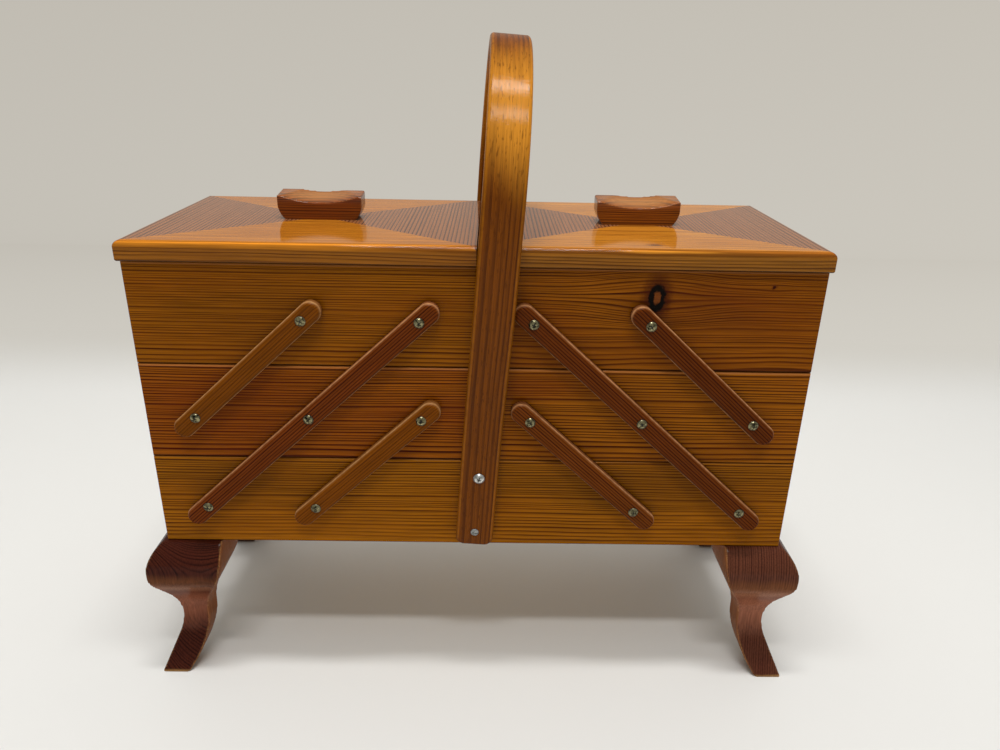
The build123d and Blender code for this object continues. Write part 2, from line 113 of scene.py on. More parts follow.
def add_node(
    tree: Tree, kind: str, inputs: dict[Any, Any] | None = None, **settings: Any
) -> bpy.types.Node:
    """Add a shader node with its settings, input values and links.

    Args:
        tree: Node tree it goes into.
        kind: Blender's name of the node type.
        inputs: Input name or index to a value, or to a socket to link from.
        **settings: Properties of the node.

    Returns:
        The new node.
    """
    node = tree.nodes.new(kind)
    for name, value in settings.items():
        setattr(node, name, value)
    for key, value in (inputs or {}).items():
        if isinstance(value, bpy.types.NodeSocket):
            tree.links.new(value, node.inputs[key])
        else:
            node.inputs[key].default_value = value
    return node


def per_metre(size_mm: tuple[float, float]) -> tuple[float, float, float]:
    """Turn a pattern's length and width in millimetres into a scale along, across and across."""
    along, across = (1 / (mm * MM) for mm in size_mm)
    return along, across, across


def set_ramp(ramp: bpy.types.ColorRamp, stops: Iterable[tuple[float, str]]) -> None:
    """Give a colour ramp its stops.

    Args:
        ramp: Ramp with Blender's two first stops.
        stops: Positions from 0 to 1 and hex colours, in order.
    """
    stops = list(stops)
    for position, _ in stops[1:-1]:
        ramp.elements.new(position)
    for element, (position, colour) in zip(ramp.elements, stops):
        element.position = position
        element.color = to_linear(colour)


def measure_from(
    tree: Tree, where: Socket, centre: Iterable[float], scale: Iterable[float]
) -> tuple[Socket, Socket]:
    """Measure how far each place is from a centre, with its own scale on each axis.

    Args:
        tree: Tree of the material.
        where: Coordinates of the place.
        centre: Coordinates of the centre.
        scale: What the offset is multiplied by on each axis.

    Returns:
        The offset in metres, and the length of the scaled offset.
    """
    offset = add_node(
        tree, "ShaderNodeVectorMath", {0: where, 1: tuple(centre)}, operation="SUBTRACT"
    ).outputs[0]
    scaled = add_node(
        tree, "ShaderNodeVectorMath", {0: offset, 1: tuple(scale)}, operation="MULTIPLY"
    ).outputs[0]
    length = add_node(tree, "ShaderNodeVectorMath", {0: scaled}, operation="LENGTH")
    return offset, length.outputs["Value"]


def start_material(name: str) -> tuple[bpy.types.Material, Tree, bpy.types.Node]:
    """Make an empty node material.

    Args:
        name: Name of the material.

    Returns:
        The material, its tree, and its output node.
    """
    material = bpy.data.materials.new(name)
    material.use_nodes = True
    tree = material.node_tree
    tree.nodes.clear()
    return material, tree, add_node(tree, "ShaderNodeOutputMaterial")


def select_only(piece: bpy.types.Object) -> None:
    """Make one object the only selected and the active one.

    Args:
        piece: Object that the next operators work on.
    """
    bpy.ops.object.select_all(action="DESELECT")
    piece.select_set(True)
    bpy.context.view_layer.objects.active = piece


def deselect() -> None:
    """Leave nothing selected, so that the next operator acts on new work only."""
    bpy.ops.object.select_all(action="DESELECT")


def named(piece: bpy.types.Object, name: str) -> bpy.types.Object:
    """Name an object and its mesh.

    Args:
        piece: Object to name.
        name: Name of both.

    Returns:
        The same object.
    """
    piece.name = name
    piece.data.name = name
    return piece


def pick(piece: bpy.types.Object, part: str, wanted: Callable[[Any], bool]) -> None:
    """Select vertices, edges or faces of the piece in edit mode.

    Args:
        piece: The object being edited.
        part: "verts", "edges" or "faces".
        wanted: Says whether one of them is to be selected.
    """
    bpy.ops.mesh.select_mode(type={"verts": "VERT", "edges": "EDGE", "faces": "FACE"}[part])
    bpy.ops.mesh.select_all(action="DESELECT")
    mesh = bmesh.from_edit_mesh(piece.data)
    for item in getattr(mesh, part):
        item.select_set(wanted(item))
    mesh.select_flush_mode()
    bmesh.update_edit_mesh(piece.data)


def apply_modifier(piece: bpy.types.Object, kind: str, **settings: Any) -> None:
    """Add a modifier and apply it at once.

    Args:
        piece: Object to change.
        kind: Blender's name of the modifier type.
        **settings: Properties of the modifier.
    """
    select_only(piece)
    modifier = piece.modifiers.new(kind.title(), kind)
    for name, value in settings.items():
        setattr(modifier, name, value)
    bpy.ops.object.modifier_apply(modifier=modifier.name)


def settle(piece: bpy.types.Object, smooth_below: float = 35.0) -> bpy.types.Object:
    """Put the piece's place into its mesh and shade it.

    Args:
        piece: Finished object.
        smooth_below: Edges bent by less than this many degrees are shaded smooth.

    Returns:
        The same object.
    """
    select_only(piece)
    bpy.ops.object.transform_apply(location=True, rotation=True, scale=True)
    bpy.ops.object.shade_smooth_by_angle(angle=math.radians(smooth_below))
    return piece


def twin(piece: bpy.types.Object, name: str) -> bpy.types.Object:
    """Copy an object with its mesh.

    Args:
        piece: Object to copy.
        name: Name of the copy and of its mesh.

    Returns:
        The copy, in the scene.
    """
    copy = bpy.data.objects.new(name, piece.data.copy())
    copy.data.name = name
    bpy.context.scene.collection.objects.link(copy)
    return copy


def joined(pieces: list[bpy.types.Object], name: str) -> bpy.types.Object:
    """Join several objects into the first.

    Args:
        pieces: Objects to join.
        name: Name of the result.

    Returns:
        The joined object.
    """
    deselect()
    for piece in pieces:
        piece.select_set(True)
    bpy.context.view_layer.objects.active = pieces[0]
    bpy.ops.object.join()
    return named(pieces[0], name)


def paint(piece: bpy.types.Object, name: str, values: list[float]) -> None:
    """Keep one amount for each vertex in an attribute that a finish reads."""
    attribute = piece.data.attributes.new(name, "FLOAT", "POINT")
    attribute.data.foreach_set("value", values)


def paint_arrises(piece: bpy.types.Object, faint: float = 0.10, full: float = 0.22) -> None:
    """Store how sharply each vertex stands out, so that its finish can be rubbed through.

    Args:
        piece: Finely meshed object.
        faint: Height over its neighbours, in edge lengths, at which the wear begins.
        full: Height at which the finish has gone.
    """
    mesh = bmesh.new()
    mesh.from_mesh(piece.data)
    wear = []
    for vertex in mesh.verts:
        spans = [edge.other_vert(vertex).co - vertex.co for edge in vertex.link_edges]
        size = sum(span.length for span in spans) / len(spans)
        height = -sum((span.dot(vertex.normal) for span in spans), 0.0) / len(spans) / size
        wear.append(min(1.0, max(0.0, (height - faint) / (full - faint))))
    mesh.free()
    paint(piece, WEAR, wear)


# ---- finishes ----------------------------------------------------------------------------
class Grain(Enum):
    """Which way the fibres of a piece run, as the turn that lays them along X."""

    ALONG_X = (0.0, 0.0, 0.0)
    ALONG_Y = (0.0, 0.0, -90.0)
    ALONG_Z = (0.0, 90.0, 0.0)
    ALONG_STRAP = (0.0, 0.0, 0.001)


@dataclass(frozen=True)
class Varnish:
    """Clear varnish, brushed on and gone thin: a soft sheen that breaks up over the grain."""

    weight: float = 0.35
    roughness: float = 0.16
    ior: float = 1.22
    wood_roughness: float = 0.55
    wood_specular: float = 0.0
    ripple_mm: float = 0.004  # height of the orange peel in the film
    ripple_size_mm: float = 1.1


@dataclass(frozen=True)
class Knot:
    """A dead branch: black bark round a brown core, with the growth lines bent round it."""

    along_mm: float
    up_mm: float
    half_width_mm: float = 5.8
    half_height_mm: float = 9.4
    reach_mm: float = 26.0
    push: float = 0.75
    bark: str = "#0d0704"
    core: str = "#6e3a16"
    halo: str = "#3c1205"
    squeeze: float = 0.4  # the lines bend further along the board than up it, by 1 over this
    shake_mm: float = 4.0  # raggedness of its outline, coarser than real so that it shows
    shake_size_mm: float = 2.381


@dataclass(frozen=True)
class Patch:
    """An area of board that has gone darker, redder or paler."""

    centre_mm: tuple[float, float, float]
    size_mm: tuple[float, float, float]
    colour: str
    strength: float
    edge: tuple[float, float] = (0.5, 1.4)  # in sizes from the centre, where it starts to fade
    ragged: float = 0.8  # by which clouds in the wood bring that edge nearer


@dataclass(frozen=True)
class Wood:
    """Sawn wood, drawn as rings round the centre of the tree that it was cut from.

    Pale spring wood darkens slowly to a thin dark autumn line and starts again sharply. Where
    the board's face runs across the rings the lines are fine, and wide where it follows them.
    Rings and fibres are drawn a little coarser than real ones, which would blur in the render.
    """

    name: str
    early: str
    late: str
    grain: Grain = Grain.ALONG_X
    lean: float = 0.0  # degrees by which the fibres climb, seen from the front
    heart_mm: tuple[float, float] = (-40.0, 0.0)  # centre of the tree, across and up
    ring_mm: float = 2.0
    unevenness: float = 1.6  # rings by which the spacing drifts
    drift_rate: float = 0.21  # how much of one such drift a ring makes
    wander_mm: float = 1.7
    wander_long_mm: float = 330.0
    wander_wide_mm: float = 70.0
    ripple_mm: float = 0.28
    ripple_size_mm: tuple[float, float] = (45.0, 9.0)  # along and across
    late_share: float = 0.85
    faintest: float = 0.55  # strength of the faintest autumn line
    blush: str = "#7a2f0e"
    blush_amount: float = 0.35
    cloud_mm: tuple[float, float] = (111.1, 26.32)  # length and width of a blush
    fibre: float = 0.22  # how much lighter and darker the fibre streaks are
    fibre_mm: tuple[float, float] = (33.33, 0.7692)  # length and width of a streak
    knots: tuple[Knot, ...] = ()
    patches: tuple[Patch, ...] = ()
    gap_shade_edges_mm: tuple[float, float] | None = None  # heights of the board's lower and upper edge, for painted gap shade and a pale arris line
    faded: str = ""  # colour of the sides that the attribute FADED marks
    worn: str = ""  # colour of the bare wood that WEAR marks, on the arms also a painted highlight
    worn_amount: float = 0.0
    worn_steady: float = 0.6  # share of the wear that does not come and go along an edge
    worn_size_mm: float = 3.846  # length of one such coming and going
    pores: float = 0.0  # strength of the opened pores
    pore_mm: tuple[float, float] = (5.0, 0.9)  # length and width, coarser than real to show
    relief_mm: float = 0.05
    varnish: Varnish = field(default_factory=Varnish)

    def material(self) -> bpy.types.Material:
        """Build the finish as a Blender material.

        Returns:
            The material.
        """
        material, tree, output = start_material(self.name)
        colour, height = self.grow(tree)
        self.coat(tree, output, colour, height)
        return material

    def coat(self, tree: Tree, output: bpy.types.Node, colour: Socket, height: Socket) -> None:
        """Lay the varnish over a colour.

        Args:
            tree: Tree of the material.
            output: Its output node.
            colour: Colour of the wood.
            height: Relief of the grain from 0 to 1.
        """
        bump = add_node(
            tree,
            "ShaderNodeBump",
            {"Strength": 0.5, "Distance": self.relief_mm * MM, "Height": height},
        )
        where = add_node(tree, "ShaderNodeTexCoord").outputs["Object"]
        peel = add_node(
            tree,
            "ShaderNodeTexNoise",
            {"Vector": where, "Scale": 1 / (self.varnish.ripple_size_mm * MM), "Detail": 2.0},
        ).outputs[0]
        film = add_node(
            tree,
            "ShaderNodeBump",
            {"Strength": 1.0, "Distance": self.varnish.ripple_mm * MM, "Height": peel},
        )
        shader = add_node(
            tree,
            "ShaderNodeBsdfPrincipled",
            {
                "Base Color": colour,
                "Coat Normal": film.outputs[0],
                "Roughness": self.varnish.wood_roughness,
                "IOR": WOOD_IOR,
                "Specular IOR Level": self.varnish.wood_specular,
                "Coat Weight": self.varnish.weight,
                "Coat Roughness": self.varnish.roughness,
                "Coat IOR": self.varnish.ior,
                "Normal": bump.outputs[0],
            },
        )
        tree.links.new(shader.outputs[0], output.inputs["Surface"])

    def place(self, tree: Tree) -> Socket:
        """Turn the piece's own coordinates so that X follows the fibres round the heart.

        Args:
            tree: Tree of the material.

        Returns:
            The turned coordinates.
        """
        if self.grain is Grain.ALONG_STRAP:
            where = add_node(tree, "ShaderNodeAttribute", attribute_name=STRAP_GRAIN)
            where = where.outputs["Vector"]
        else:
            where = add_node(tree, "ShaderNodeTexCoord").outputs["Object"]
        turn = [math.radians(angle) for angle in self.grain.value]
        turn[1] += math.radians(self.lean)
        across, up = self.heart_mm
        mapping = add_node(
            tree,
            "ShaderNodeMapping",
            {"Vector": where, "Rotation": turn, "Location": (0.0, -across * MM, -up * MM)},
        )
        return mapping.outputs[0]

    def bend_round(self, tree: Tree, where: Socket, knot: Knot) -> Socket:
        """Push the growth lines apart round a knot.

        Args:
            tree: Tree of the material.
            where: Coordinates with X along the fibres.
            knot: The knot to bend round.

        Returns:
            The bent coordinates.
        """
        centre = (knot.along_mm * MM, 0.0, (knot.up_mm - self.heart_mm[1]) * MM)
        offset, distance = measure_from(tree, where, centre, (knot.squeeze, 0.0, 1.0))
        push = add_node(
            tree,
            "ShaderNodeMapRange",
            {0: distance, 1: 0.0, 2: knot.reach_mm * MM, 3: knot.push, 4: 0.0},
            interpolation_type="SMOOTHSTEP",
        ).outputs[0]
        upright = add_node(
            tree, "ShaderNodeVectorMath", {0: offset, 1: (0.0, 0.0, 1.0)}, operation="MULTIPLY"
        ).outputs[0]
        shift = add_node(
            tree, "ShaderNodeVectorMath", {0: upright, "Scale": push}, operation="SCALE"
        ).outputs[0]
        return add_node(
            tree, "ShaderNodeVectorMath", {0: where, 1: shift}, operation="SUBTRACT"
        ).outputs[0]

    def wander(
        self, tree: Tree, where: Socket, amount_mm: float, size_mm: tuple[float, float]
    ) -> Socket:
        """Move the coordinates about across the fibres.

        Args:
            tree: Tree of the material.
            where: Coordinates with X along the fibres.
            amount_mm: Furthest move.
            size_mm: Length and width over which it changes.

        Returns:
            The moved coordinates.
        """
        slow = add_node(
            tree, "ShaderNodeMapping", {"Vector": where, "Scale": per_metre(size_mm)}
        ).outputs[0]
        noise = add_node(
            tree, "ShaderNodeTexNoise", {"Vector": slow, "Scale": 1.0, "Detail": 1.5}
        ).outputs["Color"]
        reach = 2 * amount_mm * MM
        drift = add_node(
            tree,
            "ShaderNodeVectorMath",
            {0: noise, 1: (0.0, reach, reach), 2: (0.0, -reach / 2, -reach / 2)},
            operation="MULTIPLY_ADD",
        ).outputs[0]
        return add_node(
            tree, "ShaderNodeVectorMath", {0: where, 1: drift}, operation="ADD"
        ).outputs[0]

    def rings(self, tree: Tree, where: Socket) -> Socket:
        """Draw the autumn lines.

        Args:
            tree: Tree of the material.
            where: Wandered coordinates with X along the fibres.

        Returns:
            How dark the wood is, from 0 to 1.
        """
        across = add_node(
            tree, "ShaderNodeVectorMath", {0: where, 1: (0.0, 1.0, 1.0)}, operation="MULTIPLY"
        ).outputs[0]
        radius = add_node(
            tree, "ShaderNodeVectorMath", {0: across}, operation="LENGTH"
        ).outputs["Value"]
        count = add_node(
            tree, "ShaderNodeMath", {0: radius, 1: 1 / (self.ring_mm * MM)}, operation="MULTIPLY"
        ).outputs[0]
        drift = add_node(
            tree,
            "ShaderNodeTexNoise",
            {"W": count, "Scale": self.drift_rate, "Detail": 1.0},
            noise_dimensions="1D",
        ).outputs[0]
        count = add_node(
            tree,
            "ShaderNodeMath",
            {0: drift, 1: 2 * self.unevenness, 2: count},
            operation="MULTIPLY_ADD",
        ).outputs[0]
        part = add_node(tree, "ShaderNodeMath", {0: count}, operation="FRACT").outputs[0]
        year = add_node(tree, "ShaderNodeMath", {0: count}, operation="FLOOR").outputs[0]
        chance = add_node(
            tree, "ShaderNodeTexWhiteNoise", {"W": year}, noise_dimensions="1D"
        ).outputs["Value"]
        strength = add_node(
            tree, "ShaderNodeMapRange", {0: chance, 1: 0.0, 2: 1.0, 3: self.faintest, 4: 1.0}
        ).outputs[0]
        ramp = add_node(tree, "ShaderNodeValToRGB", {0: part})
        set_ramp(ramp.color_ramp, ONE_RING)
        return add_node(
            tree,
            "ShaderNodeMath",
            {0: ramp.outputs[0], 1: strength},
            operation="MULTIPLY",
        ).outputs[0]

    def grow(self, tree: Tree) -> tuple[Socket, Socket]:
        """Draw the wood.

        Args:
            tree: Tree of the material.

        Returns:
            The colour, and the relief of the grain.
        """
        straight = self.place(tree)
        where = straight
        for knot in self.knots:
            where = self.bend_round(tree, where, knot)
        where = self.wander(
            tree, where, self.wander_mm, (self.wander_long_mm, self.wander_wide_mm)
        )
        where = self.wander(tree, where, self.ripple_mm, self.ripple_size_mm)
        dark = self.rings(tree, where)
        fibres = add_node(
            tree, "ShaderNodeMapping", {"Vector": straight, "Scale": per_metre(self.fibre_mm)}
        ).outputs[0]
        fibre = add_node(
            tree, "ShaderNodeTexNoise", {"Vector": fibres, "Scale": 1.0, "Detail": 2.0}
        ).outputs[0]
        share = add_node(
            tree, "ShaderNodeMath", {0: dark, 1: self.late_share}, operation="MULTIPLY"
        ).outputs[0]
        colour = add_node(
            tree,
            "ShaderNodeMix",
            {0: share, 6: to_linear(self.early), 7: to_linear(self.late)},
            data_type="RGBA",
        ).outputs[2]
        cloud_rate = add_node(
            tree, "ShaderNodeMapping", {"Vector": straight, "Scale": per_metre(self.cloud_mm)}
        ).outputs[0]
        cloud = add_node(
            tree, "ShaderNodeTexNoise", {"Vector": cloud_rate, "Scale": 1.0, "Detail": 3.0}
        ).outputs[0]
        blush = add_node(
            tree,
            "ShaderNodeMapRange",
            {0: cloud, 1: 0.42, 2: 0.72, 3: 0.0, 4: self.blush_amount},
        ).outputs[0]
        colour = add_node(
            tree, "ShaderNodeMix", {0: blush, 6: colour, 7: to_linear(self.blush)},
            data_type="RGBA",
        ).outputs[2]
        for patch in self.patches:
            colour = self.lay_patch(tree, colour, patch, cloud)
        for knot in self.knots:
            colour = self.lay_knot(tree, colour, straight, knot)
        if self.faded:
            side = add_node(tree, "ShaderNodeAttribute", attribute_name=FADED).outputs["Fac"]
            colour = add_node(
                tree, "ShaderNodeMix", {0: side, 6: colour, 7: to_linear(self.faded)},
                data_type="RGBA",
            ).outputs[2]
        shade = add_node(
            tree,
            "ShaderNodeMapRange",
            {0: fibre, 1: 0.3, 2: 0.7, 3: 1 - self.fibre, 4: 1 + self.fibre},
        ).outputs[0]
        colour = add_node(
            tree, "ShaderNodeVectorMath", {0: colour, "Scale": shade}, operation="SCALE"
        ).outputs[0]
        if self.pores:
            colour = self.open_pores(tree, colour, straight)
        # painted shade along the lower edge and a pale upper arris line
        if self.gap_shade_edges_mm:
            colour = self.paint_gap_shade_and_arris_light(tree, colour, self.gap_shade_edges_mm)
        if self.worn:
            colour = self.rub(tree, colour, straight)
        height = add_node(
            tree, "ShaderNodeMath", {0: fibre, 1: 0.5, 2: dark}, operation="MULTIPLY_ADD"
        ).outputs[0]
        return colour, height

    def open_pores(self, tree: Tree, colour: Socket, where: Socket) -> Socket:
        """Draw short dark dashes where the fibres have opened.

        Args:
            tree: Tree of the material.
            colour: Colour so far.
            where: Coordinates with X along the fibres.

        Returns:
            The colour with the dashes.
        """
        dashes = add_node(
            tree, "ShaderNodeMapping", {"Vector": where, "Scale": per_metre(self.pore_mm)}
        ).outputs[0]
        noise = add_node(
            tree, "ShaderNodeTexNoise", {"Vector": dashes, "Scale": 1.0, "Detail": 1.0}
        ).outputs[0]
        amount = add_node(
            tree, "ShaderNodeMapRange", {0: noise, 1: 0.6, 2: 0.7, 3: 0.0, 4: self.pores}
        ).outputs[0]
        return add_node(
            tree, "ShaderNodeMix", {0: amount, 6: colour, 7: to_linear(self.late)},
            data_type="RGBA",
        ).outputs[2]

    def paint_gap_shade_and_arris_light(self, tree: Tree, colour: Socket, edges_mm: tuple[float, float]) -> Socket:
        """Paint shade along the board's lower edge, by the gap, and a pale line on its upper arris,
        partly rubbed wood and partly painted highlight.

        Args:
            tree: Tree of the material.
            colour: Colour so far.
            edges_mm: Heights of the lower and the upper edge.

        Returns:
            The colour with both lines.
        """
        where = add_node(tree, "ShaderNodeTexCoord").outputs["Object"]
        height = add_node(tree, "ShaderNodeSeparateXYZ", {0: where}).outputs[2]
        low, high = (mm * MM for mm in edges_mm)
        lines = (  # heights from and to, the amounts there, and the colour
            # painted shade along the board's lower edge, by the gap
            (low + 0.4 * MM, low + 1.1 * MM, 0.95, 0.0, "#140602"),
            # pale upper arris: rubbed wood and painted highlight
            (high - 1.1 * MM, high - 0.6 * MM, 0.0, 0.55, "#b8743c"),
        )
        for start, end, near, far, tint in lines:
            amount = add_node(
                tree, "ShaderNodeMapRange", {0: height, 1: start, 2: end, 3: near, 4: far}
            ).outputs[0]
            colour = add_node(
                tree, "ShaderNodeMix", {0: amount, 6: colour, 7: to_linear(tint)},
                data_type="RGBA",
            ).outputs[2]
        return colour

    def lay_patch(self, tree: Tree, colour: Socket, patch: Patch, cloud: Socket) -> Socket:
        """Tint a soft-edged area of the piece.

        Args:
            tree: Tree of the material.
            colour: Colour so far.
            patch: The area.
            cloud: Noise that makes its edge ragged.

        Returns:
            The tinted colour.
        """
        where = add_node(tree, "ShaderNodeTexCoord").outputs["Object"]
        centre = (mm * MM for mm in patch.centre_mm)
        scale = (1 / (mm * MM) for mm in patch.size_mm)
        _, distance = measure_from(tree, where, centre, scale)
        ragged = add_node(
            tree,
            "ShaderNodeMath",
            {0: cloud, 1: patch.ragged, 2: distance},
            operation="MULTIPLY_ADD",
        ).outputs[0]
        amount = add_node(
            tree,
            "ShaderNodeMapRange",
            {0: ragged, 1: patch.edge[0], 2: patch.edge[1], 3: patch.strength, 4: 0.0},
            interpolation_type="SMOOTHSTEP",
        ).outputs[0]
        return add_node(
            tree, "ShaderNodeMix", {0: amount, 6: colour, 7: to_linear(patch.colour)},
            data_type="RGBA",
        ).outputs[2]

    def lay_knot(self, tree: Tree, colour: Socket, where: Socket, knot: Knot) -> Socket:
        """Draw a knot's halo, bark and core.

        Args:
            tree: Tree of the material.
            colour: Colour so far.
            where: Coordinates with X along the fibres.
            knot: The knot.

        Returns:
            The colour with the knot.
        """
        ragged = self.wander_round(tree, where, knot)
        centre = (knot.along_mm * MM, 0.0, (knot.up_mm - self.heart_mm[1]) * MM)
        scale = (1 / (knot.half_width_mm * MM), 0.0, 1 / (knot.half_height_mm * MM))
        _, distance = measure_from(tree, ragged, centre, scale)
        layers = (  # where each starts and ends to fade in half sizes, its amount and colour
            (0.9, 2.2, 0.8, knot.halo),
            (0.85, 1.1, 1.0, knot.bark),
            (0.3, 0.5, 1.0, knot.core),
        )
        for near, far, inside, tint in layers:
            amount = add_node(
                tree,
                "ShaderNodeMapRange",
                {0: distance, 1: near, 2: far, 3: inside, 4: 0.0},
                interpolation_type="SMOOTHSTEP",
            ).outputs[0]
            colour = add_node(
                tree, "ShaderNodeMix", {0: amount, 6: colour, 7: to_linear(tint)},
                data_type="RGBA",
            ).outputs[2]
        return colour

    def wander_round(self, tree: Tree, where: Socket, knot: Knot) -> Socket:
        """Give the coordinates a fine ragged shake, for the outline of a knot.

        Args:
            tree: Tree of the material.
            where: Coordinates with X along the fibres.
            knot: The knot.

        Returns:
            The shaken coordinates.
        """
        noise = add_node(
            tree,
            "ShaderNodeTexNoise",
            {"Vector": where, "Scale": 1 / (knot.shake_size_mm * MM), "Detail": 3.0},
        ).outputs["Color"]
        reach = knot.shake_mm * MM
        drift = add_node(
            tree,
            "ShaderNodeVectorMath",
            {0: noise, 1: (reach, 0.0, reach), 2: (-reach / 2, 0.0, -reach / 2)},
            operation="MULTIPLY_ADD",
        ).outputs[0]
        return add_node(
            tree, "ShaderNodeVectorMath", {0: where, 1: drift}, operation="ADD"
        ).outputs[0]

    def rub(self, tree: Tree, colour: Socket, where: Socket) -> Socket:
        """Show pale wood where the finish has rubbed off the edges.

        Args:
            tree: Tree of the material.
            colour: Colour so far.
            where: Coordinates with X along the fibres.

        Returns:
            The worn colour.
        """
        wear = add_node(tree, "ShaderNodeAttribute", attribute_name=WEAR).outputs["Fac"]
        speckle = add_node(
            tree,
            "ShaderNodeTexNoise",
            {"Vector": where, "Scale": 1 / (self.worn_size_mm * MM), "Detail": 4.0},
        ).outputs[0]
        patchy = add_node(
            tree,
            "ShaderNodeMapRange",
            {0: speckle, 1: 0.36, 2: 0.6, 3: self.worn_steady, 4: 1.0},
        ).outputs[0]
        amount = add_node(
            tree, "ShaderNodeMath", {0: wear, 1: patchy}, operation="MULTIPLY"
        ).outputs[0]
        amount = add_node(
            tree, "ShaderNodeMath", {0: amount, 1: self.worn_amount}, operation="MULTIPLY"
        ).outputs[0]
        return add_node(
            tree, "ShaderNodeMix", {0: amount, 6: colour, 7: to_linear(self.worn)},
            data_type="RGBA",
        ).outputs[2]


@dataclass(frozen=True)
class LidTop:
    """Pale pine and dark veneer under one clear varnish.

    The lid's diagonals part them: two dark triangles point at each other under the knob, and
    pale ones lie in front of it and behind it. They show as flat fields with a crisp edge.
    """

    name: str
    pine: Wood
    veneer: Wood
    painted_edge_shade: float = 0.62  # painted shade: the edges are darker than the top
    centre: float = 0.1107
    half_length: float = 0.1103
    half_width: float = 0.084
    veneer_above: float = 0.3225
    edge_heights: tuple[float, float] = (0.3205, 0.3250)  # between which the edge grows pale
    arris: float = 1.5  # how much paler the upper arris is: rubbed wood and painted highlight
    arris_heights: tuple[float, float, float, float] = (0.3244, 0.3251, 0.3255, 0.3259)

    def material(self) -> bpy.types.Material:
        """Build the finish as a Blender material.

        Returns:
            The material.
        """
        material, tree, output = start_material(self.name)
        pale, height = self.pine.grow(tree)
        dark, _ = self.veneer.grow(tree)
        where = add_node(tree, "ShaderNodeTexCoord").outputs["Object"]
        axes = add_node(tree, "ShaderNodeSeparateXYZ", {0: where}).outputs
        from_middle = add_node(
            tree, "ShaderNodeMath", {0: axes[0]}, operation="ABSOLUTE"
        ).outputs[0]
        along = add_node(
            tree, "ShaderNodeMath", {0: from_middle, 1: self.centre}, operation="SUBTRACT"
        ).outputs[0]
        along = add_node(tree, "ShaderNodeMath", {0: along}, operation="ABSOLUTE").outputs[0]
        along = add_node(
            tree, "ShaderNodeMath", {0: along, 1: 1 / self.half_length}, operation="MULTIPLY"
        ).outputs[0]
        across = add_node(tree, "ShaderNodeMath", {0: axes[1]}, operation="ABSOLUTE").outputs[0]
        across = add_node(
            tree, "ShaderNodeMath", {0: across, 1: 1 / self.half_width}, operation="MULTIPLY"
        ).outputs[0]
        inside = add_node(
            tree, "ShaderNodeMath", {0: along, 1: across}, operation="GREATER_THAN"
        ).outputs[0]
        on_top = add_node(
            tree, "ShaderNodeMath", {0: axes[2], 1: self.veneer_above}, operation="GREATER_THAN"
        ).outputs[0]
        mask = add_node(
            tree, "ShaderNodeMath", {0: inside, 1: on_top}, operation="MULTIPLY"
        ).outputs[0]
        colour = add_node(
            tree, "ShaderNodeMix", {0: mask, 6: pale, 7: dark}, data_type="RGBA"
        ).outputs[2]
        # painted shade: the lid's edges are darker than its top
        low, high = self.edge_heights
        light = add_node(
            tree, "ShaderNodeMapRange", {0: axes[2], 1: low, 2: high, 3: self.painted_edge_shade, 4: 1.0}
        ).outputs[0]
        # pale upper arris: rubbed wood and painted highlight
        start, full, until, end = self.arris_heights
        paler = add_node(
            tree, "ShaderNodeMapRange", {0: axes[2], 1: start, 2: full, 3: 1.0, 4: self.arris}
        ).outputs[0]
        flat = add_node(
            tree, "ShaderNodeMapRange", {0: axes[2], 1: until, 2: end, 3: self.arris, 4: 1.0}
        ).outputs[0]
        arris = add_node(
            tree, "ShaderNodeMath", {0: paler, 1: flat}, operation="MINIMUM"
        ).outputs[0]
        light = add_node(
            tree, "ShaderNodeMath", {0: light, 1: arris}, operation="MULTIPLY"
        ).outputs[0]
        colour = add_node(
            tree, "ShaderNodeVectorMath", {0: colour, "Scale": light}, operation="SCALE"
        ).outputs[0]
        self.pine.coat(tree, output, colour, height)
        return material


@dataclass(frozen=True)
class PlatedSteel:
    """Turned screw steel with thin plating, bright on the crown, dark with dirt and painted shade
    in the drive and round the rim.
    """

    name: str
    colour: str
    tarnish: str
    roughness: float
    rougher: float = 0.2  # by which tarnish is rougher than bare plating
    blotch_mm: float = 1.6
    relief_mm: float = 0.04
    # colour of the dirt and painted shade in the drive and round the rim
    dirt_and_shade: str = "#120c07"

    def material(self) -> bpy.types.Material:
        """Build the finish as a Blender material.

        Returns:
            The material.
        """
        material, tree, output = start_material(self.name)
        where = add_node(tree, "ShaderNodeTexCoord").outputs["Object"]
        noise = add_node(
            tree,
            "ShaderNodeTexNoise",
            {"Vector": where, "Scale": 1 / (self.blotch_mm * MM), "Detail": 3.0},
        ).outputs[0]
        amount = add_node(tree, "ShaderNodeMapRange", {0: noise, 1: 0.4, 2: 0.65}).outputs[0]
        colour = add_node(
            tree,
            "ShaderNodeMix",
            {0: amount, 6: to_linear(self.colour), 7: to_linear(self.tarnish)},
            data_type="RGBA",
        ).outputs[2]
        # dirt and painted shade in the drive and round the rim
        soiled_and_shaded = add_node(tree, "ShaderNodeAttribute", attribute_name=SOILED_AND_SHADED).outputs["Fac"]
        colour = add_node(
            tree, "ShaderNodeMix", {0: soiled_and_shaded, 6: colour, 7: to_linear(self.dirt_and_shade)},
            data_type="RGBA",
        ).outputs[2]
        bare = add_node(
            tree, "ShaderNodeMath", {0: 1.0, 1: soiled_and_shaded}, operation="SUBTRACT"
        ).outputs[0]
        rough = add_node(
            tree,
            "ShaderNodeMapRange",
            {0: noise, 1: 0.35, 2: 0.65, 3: self.roughness, 4: self.roughness + self.rougher},
        ).outputs[0]
        bump = add_node(
            tree,
            "ShaderNodeBump",
            {"Strength": 0.3, "Distance": self.relief_mm * MM, "Height": noise},
        )
        shader = add_node(
            tree,
            "ShaderNodeBsdfPrincipled",
            {
                "Base Color": colour,
                "Metallic": bare,
                "Roughness": rough,
                "Normal": bump.outputs[0],
            },
        )
        tree.links.new(shader.outputs[0], output.inputs["Surface"])
        return material


